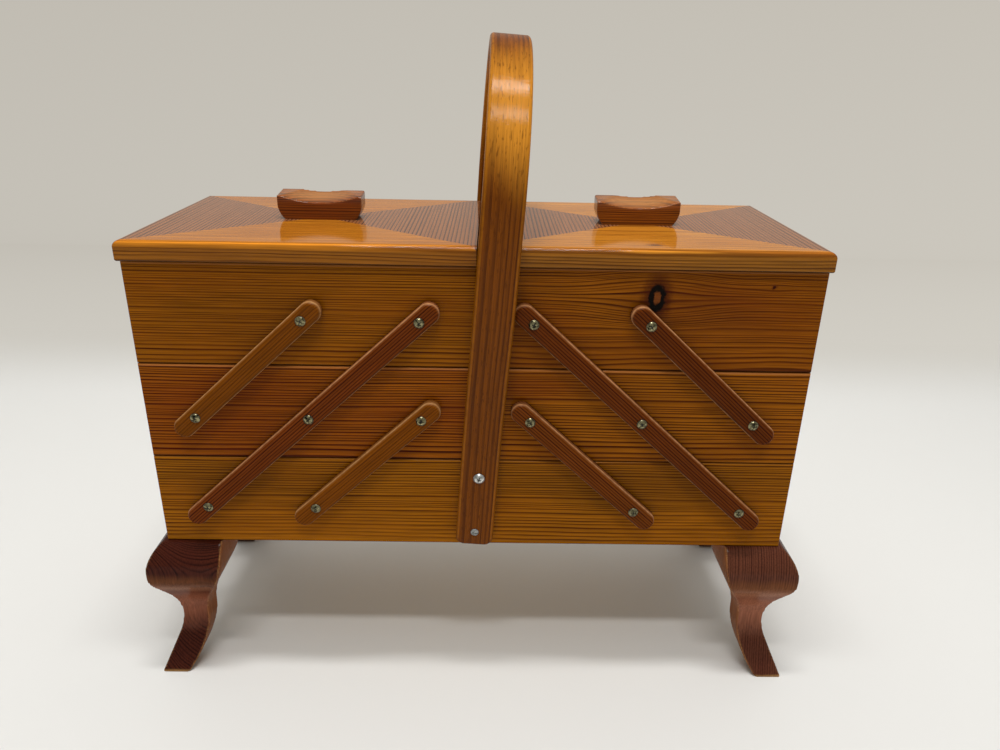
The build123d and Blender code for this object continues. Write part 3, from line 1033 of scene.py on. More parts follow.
@dataclass(frozen=True)
class Plywood:
    """Thin rotary-cut plywood, bare: matt and pale, with a broad soft figure."""

    name: str
    pale: str
    figure: str
    figure_mm: float = 14.0
    stretch: float = 9.0  # how much longer than wide the figure is
    relief_mm: float = 0.1

    def material(self) -> bpy.types.Material:
        """Build the finish as a Blender material.

        Returns:
            The material.
        """
        material, tree, output = start_material(self.name)
        where = add_node(tree, "ShaderNodeTexCoord").outputs["Object"]
        size_mm = (self.figure_mm * self.stretch, self.figure_mm)
        stretched = add_node(
            tree, "ShaderNodeMapping", {"Vector": where, "Scale": per_metre(size_mm)}
        ).outputs[0]
        figure = add_node(
            tree,
            "ShaderNodeTexNoise",
            {"Vector": stretched, "Scale": 1.0, "Detail": 4.0, "Distortion": 0.8},
        ).outputs[0]
        amount = add_node(tree, "ShaderNodeMapRange", {0: figure, 1: 0.35, 2: 0.7}).outputs[0]
        colour = add_node(
            tree,
            "ShaderNodeMix",
            {0: amount, 6: to_linear(self.pale), 7: to_linear(self.figure)},
            data_type="RGBA",
        ).outputs[2]
        bump = add_node(
            tree,
            "ShaderNodeBump",
            {"Strength": 0.3, "Distance": self.relief_mm * MM, "Height": figure},
        )
        shader = add_node(
            tree,
            "ShaderNodeBsdfPrincipled",
            {
                "Base Color": colour,
                "Roughness": 0.7,
                "IOR": WOOD_IOR,
                "Specular IOR Level": 0.2,
                "Normal": bump.outputs[0],
            },
        )
        tree.links.new(shader.outputs[0], output.inputs["Surface"])
        return material


# ---- camera, light and backdrop ----------------------------------------------------------
@dataclass
class PhotoCamera:
    """The camera of the photograph, fitted to the carrier's edges and screws."""

    place: tuple[float, float, float] = (0.00819, -0.54134, 0.43051)
    pitch: float = 22.4  # degrees down
    yaw: float = 0.91  # degrees to the right
    roll: float = 1.2  # degrees by which the camera leans
    lens: float = 27.42  # focal length in millimetres on the sensor below
    sensor: float = 36.0

    def build(self) -> None:
        """Create the camera and make it the scene's."""
        pitch, yaw, roll = (math.radians(a) for a in (self.pitch, self.yaw, self.roll))
        ahead = Vector(
            (
                math.sin(yaw) * math.cos(pitch),
                math.cos(yaw) * math.cos(pitch),
                -math.sin(pitch),
            )
        )
        level = Vector((math.cos(yaw), -math.sin(yaw), 0.0))
        above = level.cross(ahead)
        right = level * math.cos(roll) + above * math.sin(roll)
        up = above * math.cos(roll) - level * math.sin(roll)
        data = bpy.data.cameras.new("photo_camera")
        data.lens = self.lens
        data.sensor_width = self.sensor
        data.clip_start = 0.01
        camera = bpy.data.objects.new("photo_camera", data)
        bpy.context.scene.collection.objects.link(camera)
        turn = Matrix((right, up, -ahead)).transposed().to_4x4()
        camera.matrix_world = Matrix.Translation(self.place) @ turn
        bpy.context.scene.camera = camera


@dataclass(frozen=True)
class PaperSweep:
    """Matt white paper on the table, which shows as a greyer wall further back.

    On the table it is plain paper with the carrier's shadow. The wall is painted light: a glow
    shown to the camera and in reflections only, which gives the object no light of that colour,
    greyer further back and up as painted falloff and a little brighter to the right.
    """

    name: str = "paper_sweep"
    paper: str = "#d6d5d2"
    tooth_mm: float = 1.111  # coarser than real paper, so that it shows at all
    relief_mm: float = 0.1
    grey_from: float = 0.40  # distances behind the carrier between which the grey comes in
    grey_to: float = 0.68
    climb: float = 1.3  # how much a metre up counts against a metre back
    darkest_at: float = 3.4
    # painted light: the wall's glow, greyer further back as painted falloff
    painted_wall_greys: tuple[tuple[float, str], ...] = ((0.0, "#cfcbc2"), (0.3, "#c3beb4"), (1.0, "#b4aea4"))
    side: float = 1.4  # metres to each side over which the wall's light changes
    side_light: tuple[float, float] = (0.95, 1.05)  # left and right

    def material(self) -> bpy.types.Material:
        """Build the finish as a Blender material.

        Returns:
            The material.
        """
        material, tree, output = start_material(self.name)
        where = add_node(tree, "ShaderNodeTexCoord").outputs["Object"]
        axes = add_node(tree, "ShaderNodeSeparateXYZ", {0: where}).outputs
        tooth = add_node(
            tree,
            "ShaderNodeTexNoise",
            {"Vector": where, "Scale": 1 / (self.tooth_mm * MM), "Detail": 2.0},
        ).outputs[0]
        bump = add_node(
            tree,
            "ShaderNodeBump",
            {"Strength": 0.1, "Distance": self.relief_mm * MM, "Height": tooth},
        )
        paper = add_node(
            tree,
            "ShaderNodeBsdfPrincipled",
            {
                "Base Color": to_linear(self.paper),
                "Roughness": 0.85,
                "Specular IOR Level": 0.1,
                "Normal": bump.outputs[0],
            },
        )
        distance = add_node(
            tree,
            "ShaderNodeMath",
            {0: axes[2], 1: self.climb, 2: axes[1]},
            operation="MULTIPLY_ADD",
        ).outputs[0]
        back = add_node(
            tree, "ShaderNodeMapRange", {0: distance, 1: self.grey_to, 2: self.darkest_at}
        ).outputs[0]
        ramp = add_node(tree, "ShaderNodeValToRGB", {0: back})
        set_ramp(ramp.color_ramp, self.painted_wall_greys)
        left, right = self.side_light
        aside = add_node(
            tree, "ShaderNodeMapRange", {0: axes[0], 1: -self.side, 2: self.side, 3: left, 4: right}
        ).outputs[0]
        wall = add_node(
            tree, "ShaderNodeEmission", {"Color": ramp.outputs[0], "Strength": aside}
        )
        rays = add_node(tree, "ShaderNodeLightPath").outputs
        seen = add_node(
            tree,
            "ShaderNodeMath",
            {0: rays["Is Camera Ray"], 1: rays["Is Glossy Ray"]},
            operation="ADD",
        ).outputs[0]
        seen = add_node(
            tree,
            "ShaderNodeMath",
            {0: seen, 1: rays["Is Transmission Ray"]},
            operation="ADD",
            use_clamp=True,
        ).outputs[0]
        grey = add_node(
            tree,
            "ShaderNodeMapRange",
            {0: axes[1], 1: self.grey_from, 2: self.grey_to},
            interpolation_type="SMOOTHSTEP",
        ).outputs[0]
        amount = add_node(
            tree, "ShaderNodeMath", {0: seen, 1: grey}, operation="MULTIPLY"
        ).outputs[0]
        shown = add_node(
            tree,
            "ShaderNodeMixShader",
            {0: amount, 1: paper.outputs[0], 2: wall.outputs[0]},
        )
        tree.links.new(shown.outputs[0], output.inputs["Surface"])
        return material


@dataclass(frozen=True)
class Lamp:
    """A rectangular lamp."""

    name: str
    place: tuple[float, float, float]
    target: tuple[float, float, float]
    size: tuple[float, float]
    power: float  # watts
    mirrored: bool = True  # whether it shows in glossy surfaces

    def hang(self) -> None:
        """Hang the lamp and turn it to its target."""
        data = bpy.data.lights.new(self.name, "AREA")
        data.shape = "RECTANGLE"
        data.size, data.size_y = self.size
        data.energy = self.power
        lamp = bpy.data.objects.new(self.name, data)
        bpy.context.scene.collection.objects.link(lamp)
        lamp.location = self.place
        lamp.visible_glossy = self.mirrored
        aim = Vector(self.target) - Vector(self.place)
        lamp.rotation_euler = aim.to_track_quat("-Z", "Y").to_euler()


@dataclass
class Studio:
    """Pale sweep, soft overhead light and two ceiling panels that glint on the varnish."""

    lamps: tuple[Lamp, ...] = (
        Lamp("overhead_light", (0.0, 0.1, 2.6), (0.0, 0.1, 0.1), (2.6, 2.2), 14.0, False),
        Lamp("ceiling_panel_far", (0.0, -0.22, 2.45), (0.0, -0.1, 0.3), (1.0, 0.20), 28.0),
        Lamp("ceiling_panel_near", (0.0, -1.15, 2.45), (0.0, -0.1, 0.3), (1.0, 0.16), 21.0),
    )
    half_width: float = 7.0
    front_edge: float = -3.5
    bend_start: float = 1.35  # the sheet bends forward from here, so that its wall stands
    bend_radius: float = 0.55  # nearer by this much, and a camera behind it sees only the wall
    wall_top: float = 2.6
    sky: str = "#c9c8c3"
    sky_strength: float = 0.72

    def build(self) -> None:
        """Make the sweep, the world and the lamps."""
        self.build_sweep()
        self.build_world()
        for lamp in self.lamps:
            lamp.hang()

    def build_sweep(self) -> None:
        """Fold a sheet forward and up into a wall behind the carrier."""
        deselect()
        depth = self.bend_start - self.front_edge
        bpy.ops.mesh.primitive_plane_add(
            size=1.0, location=(0.0, self.front_edge + depth / 2, 0.0)
        )
        sweep = named(bpy.context.object, "paper_sweep")
        sweep.scale = (2 * self.half_width, depth, 1.0)
        bpy.ops.object.transform_apply(location=True, rotation=True, scale=True)
        bpy.ops.object.mode_set(mode="EDIT")
        edge = self.bend_start - 1e-4
        pick(sweep, "edges", lambda e: all(v.co.y > edge for v in e.verts))
        bpy.ops.mesh.spin(
            steps=24,
            angle=math.radians(90),
            center=(0.0, self.bend_start, self.bend_radius),
            axis=(1.0, 0.0, 0.0),
        )
        bpy.ops.mesh.extrude_region_move(
            TRANSFORM_OT_translate={"value": (0.0, 0.0, self.wall_top - self.bend_radius)}
        )
        bpy.ops.mesh.select_all(action="SELECT")
        bpy.ops.mesh.remove_doubles(threshold=1e-5)
        bpy.ops.mesh.normals_make_consistent(inside=False)
        bpy.ops.object.mode_set(mode="OBJECT")
        if sweep.data.polygons[0].normal.z < 0.0:
            sweep.data.flip_normals()
        bpy.ops.object.shade_smooth_by_angle(angle=math.radians(1.0))
        sweep.data.materials.append(PaperSweep().material())

    def build_world(self) -> None:
        """Even light from the room."""
        world = bpy.data.worlds.new("room_light")
        world.use_nodes = True
        world.node_tree.nodes.clear()
        background = add_node(
            world.node_tree,
            "ShaderNodeBackground",
            {"Color": to_linear(self.sky), "Strength": self.sky_strength},
        )
        add_node(world.node_tree, "ShaderNodeOutputWorld", {"Surface": background.outputs[0]})
        bpy.context.scene.world = world


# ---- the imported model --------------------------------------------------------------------
@dataclass
class Carrier:
    """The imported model, with what a new piece needs to take a node's place."""

    frame: dict[str, Any]

    def __post_init__(self) -> None:
        """Look up each node's material slot."""
        subparts = self.frame["record"]["subparts"]
        self.slots = {part["node"]: part["material_slot"] for part in subparts}

    def stand_in(self, piece: bpy.types.Object, node: str, material: bpy.types.Material) -> None:
        """Let a new piece take the place of a node.

        Args:
            piece: Finished object, in place.
            node: CAD node it stands for.
            material: Its finish.
        """
        piece.data.materials.clear()
        piece.data.materials.append(material)
        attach(piece, self.frame["nodes"][node]["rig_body"])
        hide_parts(node)
        LOG.info("%s stands for %s", piece.name, node)

    def dress(self, node: str, material: bpy.types.Material) -> None:
        """Give a CAD node its finish.

        Args:
            node: CAD node that stays as it is.
            material: Its finish.
        """
        mesh = self.frame["nodes"][node].data
        mesh.materials.clear()
        mesh.materials.append(material)
        LOG.info("%s is dressed in %s", node, material.name)

    def softened(self, node: str, name: str, voxel: float, rounds: int) -> bpy.types.Object:
        """A copy of a node with its arrises rubbed round.

        Args:
            node: CAD node to copy.
            name: Name of the copy.
            voxel: Size of the new mesh's faces.
            rounds: How many times it is smoothed.

        Returns:
            The copy, at rest in place.
        """
        deselect()
        piece = bpy.data.objects.new(name, self.frame["nodes"][node].data.copy())
        piece.data.name = name
        bpy.context.scene.collection.objects.link(piece)
        select_only(piece)
        bpy.ops.object.mode_set(mode="EDIT")
        bpy.ops.mesh.select_all(action="SELECT")
        bpy.ops.mesh.remove_doubles(threshold=1e-6)
        bpy.ops.object.mode_set(mode="OBJECT")
        apply_modifier(piece, "REMESH", mode="VOXEL", voxel_size=voxel, adaptivity=0.0)
        apply_modifier(piece, "SMOOTH", factor=0.5, iterations=rounds)
        select_only(piece)
        bpy.ops.object.shade_smooth()
        return piece


# ---- trays and lids ----------------------------------------------------------------------
@dataclass
class Trays:
    """Boards and base panels of the five trays."""

    carrier: Carrier
    edges_mm: dict[str, tuple[float, float]] = field(
        default_factory=lambda: {
            "bottom": (109.0, 177.0),
            "middle": (177.0, 244.0),
            "top": (245.0, 312.0),
        }
    )
    back_drop_mm: float = 9.0  # how much lower the back boards' hearts lie
    end_heart_mm: float = 176.0  # distance of the end boards' hearts from the middle

    def fronts(self) -> dict[str, Wood]:
        """Choose a finish for each tray's front board.

        Returns:
            The finish of each node.
        """
        # Flat-sawn pine, planed and varnished: honey wood with dark brown growth lines that run
        # along the board, flame-shaped where it follows a ring, under a thin sheen.
        honey = Wood(
            name="varnished_pine_bottom_front",
            early="#975c0c",
            late="#340a02",
            faintest=0.8,
            heart_mm=(-38.0, 100.0),
            ring_mm=1.65,
            wander_mm=2.2,
            late_share=1.0,
            blush="#8a4a06",
            patches=(
                Patch((-90.0, -80.0, 112.0), (190.0, 30.0, 34.0), "#9a5a0c", 0.45),
                Patch((160.0, -80.0, 120.0), (110.0, 30.0, 50.0), "#8f5208", 0.35),
                Patch((-160.0, -80.0, 158.0), (100.0, 30.0, 30.0), "#4a2804", 0.4),
                Patch((120.0, -80.0, 158.0), (170.0, 30.0, 28.0), "#4a2804", 0.4),
            ),
        )
        return {
            "bottom_front_board": honey,
            "left_middle_front_board": replace(
                honey,
                name="varnished_pine_left_middle_front",
                early="#904e0b",
                late="#2c0502",
                blush="#6a2408",
                blush_amount=0.4,
                heart_mm=(-44.0, 160.0),
                ring_mm=1.75,
                wander_mm=2.6,
                patches=(Patch((-150.0, -80.0, 215.0), (110.0, 30.0, 40.0), "#5e1e06", 0.3),),
            ),
            "right_middle_front_board": replace(
                honey,
                name="varnished_pine_right_middle_front",
                early="#94560b",
                late="#300802",
                blush="#743608",
                heart_mm=(-44.0, 160.0),
                ring_mm=1.9,
                patches=(Patch((35.0, -80.0, 232.0), (60.0, 30.0, 16.0), "#6a2a08", 0.5),),
            ),
            "left_top_front_board": replace(
                honey,
                name="varnished_pine_left_top_front",
                early="#8f540a",
                late="#360c02",
                faintest=0.6,
                blush="#7c3c06",
                heart_mm=(-50.0, 232.0),
                ring_mm=1.55,
                wander_mm=1.0,
                patches=(Patch((-150.0, -80.0, 280.0), (90.0, 30.0, 50.0), "#5c3004", 0.35),),
            ),
            "right_top_front_board": replace(
                honey,
                name="varnished_pine_right_top_front",
                early="#8a4e0a",
                late="#300902",
                faintest=0.55,
                blush="#6e3006",
                blush_amount=0.5,
                heart_mm=(-38.0, 238.0),
                ring_mm=1.45,
                wander_mm=2.4,
                wander_long_mm=150.0,
                knots=(
                    Knot(along_mm=113.4, up_mm=294.4),
                    Knot(
                        along_mm=186.8,
                        up_mm=302.8,
                        half_width_mm=1.4,
                        half_height_mm=0.9,
                        reach_mm=7.0,
                        push=0.4,
                        bark="#33140a",
                        core="#33140a",
                        halo="#5a260a",
                    ),
                ),
                patches=(Patch((150.0, -80.0, 288.0), (70.0, 30.0, 30.0), "#54200a", 0.4),),
            ),
        }

    def build(self) -> None:
        """Dress every board and panel."""
        fronts = self.fronts()
        for node, wood in fronts.items():
            tier = node.replace("left_", "").replace("right_", "").split("_")[0]
            wood = replace(wood, gap_shade_edges_mm=self.edges_mm[tier])
            self.carrier.dress(node, wood.material())
            across, up = wood.heart_mm
            back = replace(
                wood,
                name=wood.name.replace("front", "back"),
                heart_mm=(-across, up - self.back_drop_mm),
                knots=(),
                patches=(),
            )
            self.carrier.dress(node.replace("front", "back"), back.material())
        plain = fronts["bottom_front_board"]
        for side, sign in (("left", -1), ("right", 1)):
            for tier, (low, _) in self.edges_mm.items():
                end = replace(
                    plain,
                    name=f"varnished_pine_{side}_{tier}_end",
                    grain=Grain.ALONG_Y,
                    heart_mm=(-sign * self.end_heart_mm, low - 8.0 + 11.0 * sign),
                    ring_mm=1.7,
                    patches=(),
                ).material()
                if tier == "bottom":
                    self.carrier.dress(f"bottom_{side}_end", end)
                    continue
                self.carrier.dress(f"{side}_{tier}_outer_end", end)
                self.carrier.dress(f"{side}_{tier}_inner_end", end)
        ply = Plywood("bare_plywood", "#c9a26c", "#a67c48").material()
        self.carrier.dress("bottom_base_panel", ply)
        for side in ("left", "right"):
            for tier in ("middle", "top"):
                self.carrier.dress(f"{side}_{tier}_base_panel", ply)


@dataclass
class Lids:
    """Lid boards, their veneer, battens and knobs."""

    carrier: Carrier

    def build(self) -> None:
        """Dress the lids and make their knobs."""
        # Many coats, brushed level: the lid mirrors the ceiling as a pale even glare.
        glossy = Varnish(weight=0.85, roughness=0.09, ior=1.24, wood_roughness=0.5)
        # Flat-sawn pine that light has bleached to yellow-brown, with open brown growth lines.
        pine = Wood(
            name="varnished_pine_lid",
            early="#b06c1a",
            late="#4e2004",
            heart_mm=(12.0, 268.0),
            ring_mm=1.7,
            wander_mm=2.6,
            late_share=0.9,
            # its lower line is painted shade by the gap under the lid
            gap_shade_edges_mm=(313.0, 400.0),
            blush="#8a4a10",
            blush_amount=0.4,
            varnish=glossy,
        )
        # Sliced veneer, laid with its grain from front to back: cool brown with fine straight
        # darker lines, which set it off from the pine round it.
        veneer = replace(
            pine,
            name="dark_veneer",
            early="#865432",
            late="#35180a",
            grain=Grain.ALONG_Y,
            gap_shade_edges_mm=None,
            ring_mm=2.6,
            unevenness=0.3,
            wander_mm=0.25,
            ripple_mm=0.06,
            late_share=0.85,
            blush="#6c4228",
            blush_amount=0.2,
            fibre=0.1,
        )
        eye = Patch((110.9, -70.7, 326.0), (9.0, 5.0, 6.0), "#3a1606", 0.8)
        # the last number is the painted shade on each lid's edges
        for side, sign, early, heart, patches, shade in (
            ("left", -1, pine.early, (12.0, 268.0), (), 0.62),
            ("right", 1, "#bc7822", (-9.0, 264.0), (eye,), 0.54),
        ):
            own_pine = replace(
                pine, name=f"{pine.name}_{side}", early=early, heart_mm=heart, patches=patches
            )
            own_veneer = replace(veneer, heart_mm=(-sign * 240.0, 300.0))
            top = LidTop(f"inlaid_lid_{side}", own_pine, own_veneer, painted_edge_shade=shade).material()
            self.carrier.dress(f"{side}_lid_panel", top)
            self.carrier.dress(f"{side}_lid_inlay", top)
            self.carrier.dress(f"{side}_lid_battens", own_pine.material())
            self.build_knob(side)

    def build_knob(self, side: str) -> None:
        """Make one scooped knob with rubbed arrises.

        Args:
            side: "left" or "right".
        """
        node = f"{side}_lid_knob"
        knob = self.carrier.softened(node, f"{side}_scooped_knob", 0.0005, 3)
        paint_arrises(knob)
        middle, early, heart_up = {
            "left": (-110.7, "#7c3c0a", 296.0),
            "right": (110.7, "#86460a", 291.0),
        }[side]
        # Pine shaped with a gouge and rasp, then varnished: red-brown, with pale wood on the
        # arrises that fingers have rubbed and a paler top that is a painted highlight on the scoop.
        wood = Wood(
            name=f"varnished_pine_{side}_knob",
            early=early,
            late="#320f04",
            heart_mm=(-4.0, heart_up),
            ring_mm=1.5,
            wander_mm=0.8,
            wander_long_mm=60.0,
            wander_wide_mm=30.0,
            late_share=1.0,
            blush="#6a2c0a",
            # painted highlight on the scooped top
            patches=(Patch((middle, 0.0, 342.0), (44.0, 15.0, 7.0), "#c08a52", 0.45),),
            worn="#c8905a",
            worn_amount=0.6,
            varnish=Varnish(weight=1.0, roughness=0.12, ior=1.35, wood_roughness=0.4),
        )
        self.carrier.stand_in(knob, node, wood.material())


# ---- arms --------------------------------------------------------------------------------
@dataclass
class Arms:
    """Straight bars with round ends, and show edges rounded by hand."""

    carrier: Carrier
    width: float = 0.014
    show_round: float = 0.0028
    back_round: float = 0.0005
    pale_line_at: float = 0.7  # share of the rounding where the pale line, rubbed wood and painted highlight, is strongest
    pale_line_over: float = 0.45  # share of the rounding over which that fades
    heart_behind: float = 0.012  # the tree's centre lies this far behind an arm's middle
    heart_above: float = 0.03  # and this far above it, across its fibres

    def finishes(self) -> dict[str, Wood]:
        """Choose a finish for each arm on the front.

        Returns:
            The finish of each arm, without the words front or back.
        """
        # Pine, planed and stained dark: near-black growth lines on red-brown, with a dull sheen
        # and a pale line along the rounded edges, partly rubbed through to bare wood and partly a
        # painted highlight.
        dark = Wood(
            name="dark_stained_pine_arm",
            early="#6a300a",
            late="#1c0702",
            ring_mm=1.6,
            unevenness=0.4,
            wander_mm=0.5,
            late_share=1.0,
            blush="#5a2408",
            blush_amount=0.2,
            worn="#c08a5c",
            worn_amount=1.0,
            varnish=Varnish(weight=0.35, roughness=0.22),
        )
        # The same with thinner stain: golden brown, with weaker lines.
        light = replace(
            dark,
            name="light_stained_arm",
            early="#733d06",
            late="#3c1a03",
            late_share=0.7,
            blush="#6c3408",
            worn="#b88a58",
        )
        return {
            "left_long_arm": dark,
            "left_lower_arm": light,
            "left_upper_arm": replace(light, early="#703c07", late="#3e1a03"),
            "right_long_arm": replace(dark, early="#622d08"),
            "right_lower_arm": replace(dark, early="#6a340a", late="#220a03"),
            "right_upper_arm": replace(dark, early="#5c2906", late="#1c0602"),
        }

    def build(self) -> None:
        """Make all twelve arms."""
        for place, wood in self.finishes().items():
            side, kind = place.split("_", 1)
            for face in ("front", "back"):
                node = f"{side}_{face}_{kind}"
                bar, lean, heart = self.build_bar(node, side, face)
                own = replace(wood, name=f"{wood.name}_{node}", lean=lean, heart_mm=heart)
                self.carrier.stand_in(bar, node, own.material())

    def build_bar(
        self, node: str, side: str, face: str
    ) -> tuple[bpy.types.Object, float, tuple[float, float]]:
        """Shape one arm over its CAD node.

        Args:
            node: CAD node to follow.
            side: "left" or "right".
            face: "front" or "back".

        Returns:
            The bar, the lean of its fibres in degrees, and the heart of its tree.
        """
        low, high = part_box(node)
        run = high.x - low.x - self.width
        rise = high.z - low.z - self.width
        length = math.hypot(run, rise) + self.width
        thickness = high.y - low.y
        climb = math.atan2(rise, run) * (1 if side == "left" else -1)
        deselect()
        bpy.ops.mesh.primitive_cube_add(size=1.0, location=(0.0, 0.0, 0.0))
        bar = named(bpy.context.object, f"{node}_bar")
        bar.scale = (length, thickness, self.width)
        bpy.ops.object.transform_apply(location=True, rotation=True, scale=True)
        bpy.ops.object.mode_set(mode="EDIT")
        pick(bar, "edges", lambda e: abs(e.verts[0].co.y - e.verts[1].co.y) > 1e-4)
        bpy.ops.mesh.bevel(offset=self.width / 2 - 1e-5, segments=14, profile=0.5)
        show = -1 if face == "front" else 1
        for sign, radius, steps in ((show, self.show_round, 6), (-show, self.back_round, 2)):
            edge = sign * thickness / 2
            pick(bar, "edges", lambda e: all(abs(v.co.y - edge) < 1e-6 for v in e.verts))
            bpy.ops.mesh.bevel(offset=radius, segments=steps, profile=0.5)
        bpy.ops.mesh.select_all(action="SELECT")
        bpy.ops.mesh.remove_doubles(threshold=2e-5)
        bpy.ops.object.mode_set(mode="OBJECT")
        face_y = thickness / 2
        depths = [(face_y - show * v.co.y) / self.show_round for v in bar.data.vertices]
        # pale band along the rounded show edges: rubbed wood and painted highlight
        wear = [max(0.0, 1.0 - abs(depth - self.pale_line_at) / self.pale_line_over) for depth in depths]
        paint(bar, WEAR, wear)
        bar.rotation_euler = (0.0, -climb, 0.0)
        bar.location = (low + high) / 2
        settle(bar, 40.0)
        apply_modifier(bar, "WEIGHTED_NORMAL", keep_sharp=True)
        middle = (low + high) / 2
        across = middle.y + self.heart_behind * (1 if face == "front" else -1)
        up = -middle.x * math.sin(climb) + middle.z * math.cos(climb)
        return bar, math.degrees(climb), (across / MM, (up + self.heart_above) / MM)


# ---- handle ------------------------------------------------------------------------------
@dataclass
class Handle:
    """A strap steamed and bent over the lids, which leans to the right and bows outwards."""

    carrier: Carrier
    origin: tuple[float, float, float] = (-0.0008, 0.0, 0.1135)
    lean: float = 3.5
    width: float = 0.026
    thickness: float = 0.008
    foot_y: float = 0.085
    arch_y: float = 0.093
    bow_start: float = 0.068
    bow_length: float = 0.110
    spring: float = 0.23712
    foot_corner: float = 0.006
    edge_round: float = 0.0023
    bow_steps: int = 14
    arch_steps: int = 72
    twist: float = 1.35  # degrees about the upright, above the lids
    twist_from: float = 0.06  # height over the feet at which the twist begins
    twist_over: float = 0.16  # height over which it is gained
    pinch: float = 0.003  # share by which the twisted part is narrower from front to back
    settle_x: float = -0.0007  # by which the arch leans less than the feet
    rubbed_deep: float = 0.3  # wear reaches this share of the rounding in from the surface
    rubbed_wide: float = 0.7  # and this share in from the strap's edge

    def across_x(self, z: float) -> float:
        """Place of the leaning handle's middle along the carrier, at a height."""
        return self.origin[0] + (z - self.origin[2]) * math.tan(math.radians(self.lean))

    def path(self, s: float) -> tuple[float, float, float, float]:
        """Follow the strap's middle line from the front foot.

        Args:
            s: Distance from the front foot.

        Returns:
            Place (across, up) and outward direction (across, up).
        """
        arch = math.pi * self.arch_y
        if s > self.spring + arch / 2:
            y, up, out_y, out_up = self.path(2 * self.spring + arch - s)
            return -y, up, -out_y, out_up
        if s >= self.spring:
            turn = (s - self.spring) / self.arch_y
            out_y, out_up = -math.cos(turn), math.sin(turn)
            return self.arch_y * out_y, self.spring + self.arch_y * out_up, out_y, out_up
        half = self.bow_length / 2
        step = (self.arch_y - self.foot_y) / 2
        radius = (step * step + half * half) / (2 * step)
        along = min(max(s - self.bow_start, 0.0), self.bow_length)
        if along < half:
            y = self.foot_y + radius - math.sqrt(radius**2 - along**2)
            slope = along / math.sqrt(radius**2 - along**2)
        else:
            left = self.bow_length - along
            y = self.arch_y - radius + math.sqrt(radius**2 - left**2)
            slope = left / math.sqrt(radius**2 - left**2)
        norm = math.hypot(1.0, slope)
        return -y, s, -1.0 / norm, -slope / norm

    def build(self) -> None:
        """Shape the strap flat, then bend it along its path."""
        total = 2 * self.spring + math.pi * self.arch_y
        deselect()
        bpy.ops.mesh.primitive_cube_add(size=1.0, location=(0.0, 0.0, total / 2))
        strap = named(bpy.context.object, "bent_handle_strap")
        strap.scale = (self.width, self.thickness, total)
        bpy.ops.object.transform_apply(location=True, rotation=True, scale=True)
        bpy.ops.object.mode_set(mode="EDIT")
        pick(strap, "edges", lambda e: abs(e.verts[0].co.y - e.verts[1].co.y) > 1e-4)
        bpy.ops.mesh.bevel(offset=self.foot_corner, segments=8, profile=0.5)
        for edge in (-self.thickness / 2, self.thickness / 2):
            pick(strap, "edges", lambda e: all(abs(v.co.y - edge) < 1e-6 for v in e.verts))
            bpy.ops.mesh.bevel(offset=self.edge_round, segments=5, profile=0.5)
        for cut in self.cuts(total):
            bpy.ops.mesh.select_all(action="SELECT")
            bpy.ops.mesh.bisect(plane_co=(0.0, 0.0, cut), plane_no=(0.0, 0.0, 1.0))
        bpy.ops.object.mode_set(mode="OBJECT")
        self.bend(strap)
        select_only(strap)
        bpy.ops.object.mode_set(mode="EDIT")
        bpy.ops.mesh.select_all(action="SELECT")
        bpy.ops.mesh.normals_make_consistent(inside=False)
        bpy.ops.object.mode_set(mode="OBJECT")
        settle(strap, 40.0)
        apply_modifier(strap, "WEIGHTED_NORMAL", keep_sharp=True)
        # Beech, steamed and bent, then stained and varnished: broad plain brown figure, short
        # dark pores where the bend has opened the fibres, and a golden crown that is a painted
        # highlight where the top of the arch catches the ceiling light.
        wood = Wood(
            name="bent_beech_strap",
            early="#703a06",
            late="#482104",
            grain=Grain.ALONG_STRAP,
            heart_mm=(-9.0, -30.0),
            ring_mm=3.1,
            unevenness=2.2,
            wander_mm=1.3,
            wander_long_mm=420.0,
            late_share=0.9,
            blush="#6c3406",
            blush_amount=0.15,
            patches=(
                # painted highlight on the crown of the arch, on the front and on the back
                Patch((20.0, -70.0, 402.0), (70.0, 90.0, 62.0), "#c88428", 0.8),
                Patch((20.0, 70.0, 402.0), (70.0, 90.0, 62.0), "#c88428", 0.8),
            ),
            pores=0.5,
            worn="#b4700c",
            worn_amount=0.5,
            varnish=Varnish(weight=0.44, roughness=0.13, ior=1.3, ripple_mm=0.09),
        )
        self.carrier.stand_in(strap, "handle_bow", wood.material())

    def cuts(self, total: float) -> list[float]:
        """Space the cuts at which the flat strap bends.

        Args:
            total: Length of the strap.

        Returns:
            Heights on the flat strap, in order.
        """
        steps = self.bow_steps
        bow = [self.bow_start + self.bow_length * i / steps for i in range(steps + 1)]
        steps = self.arch_steps
        arch = [self.spring + (total - 2 * self.spring) * i / steps for i in range(steps + 1)]
        return sorted(bow + arch + [total - cut for cut in bow])

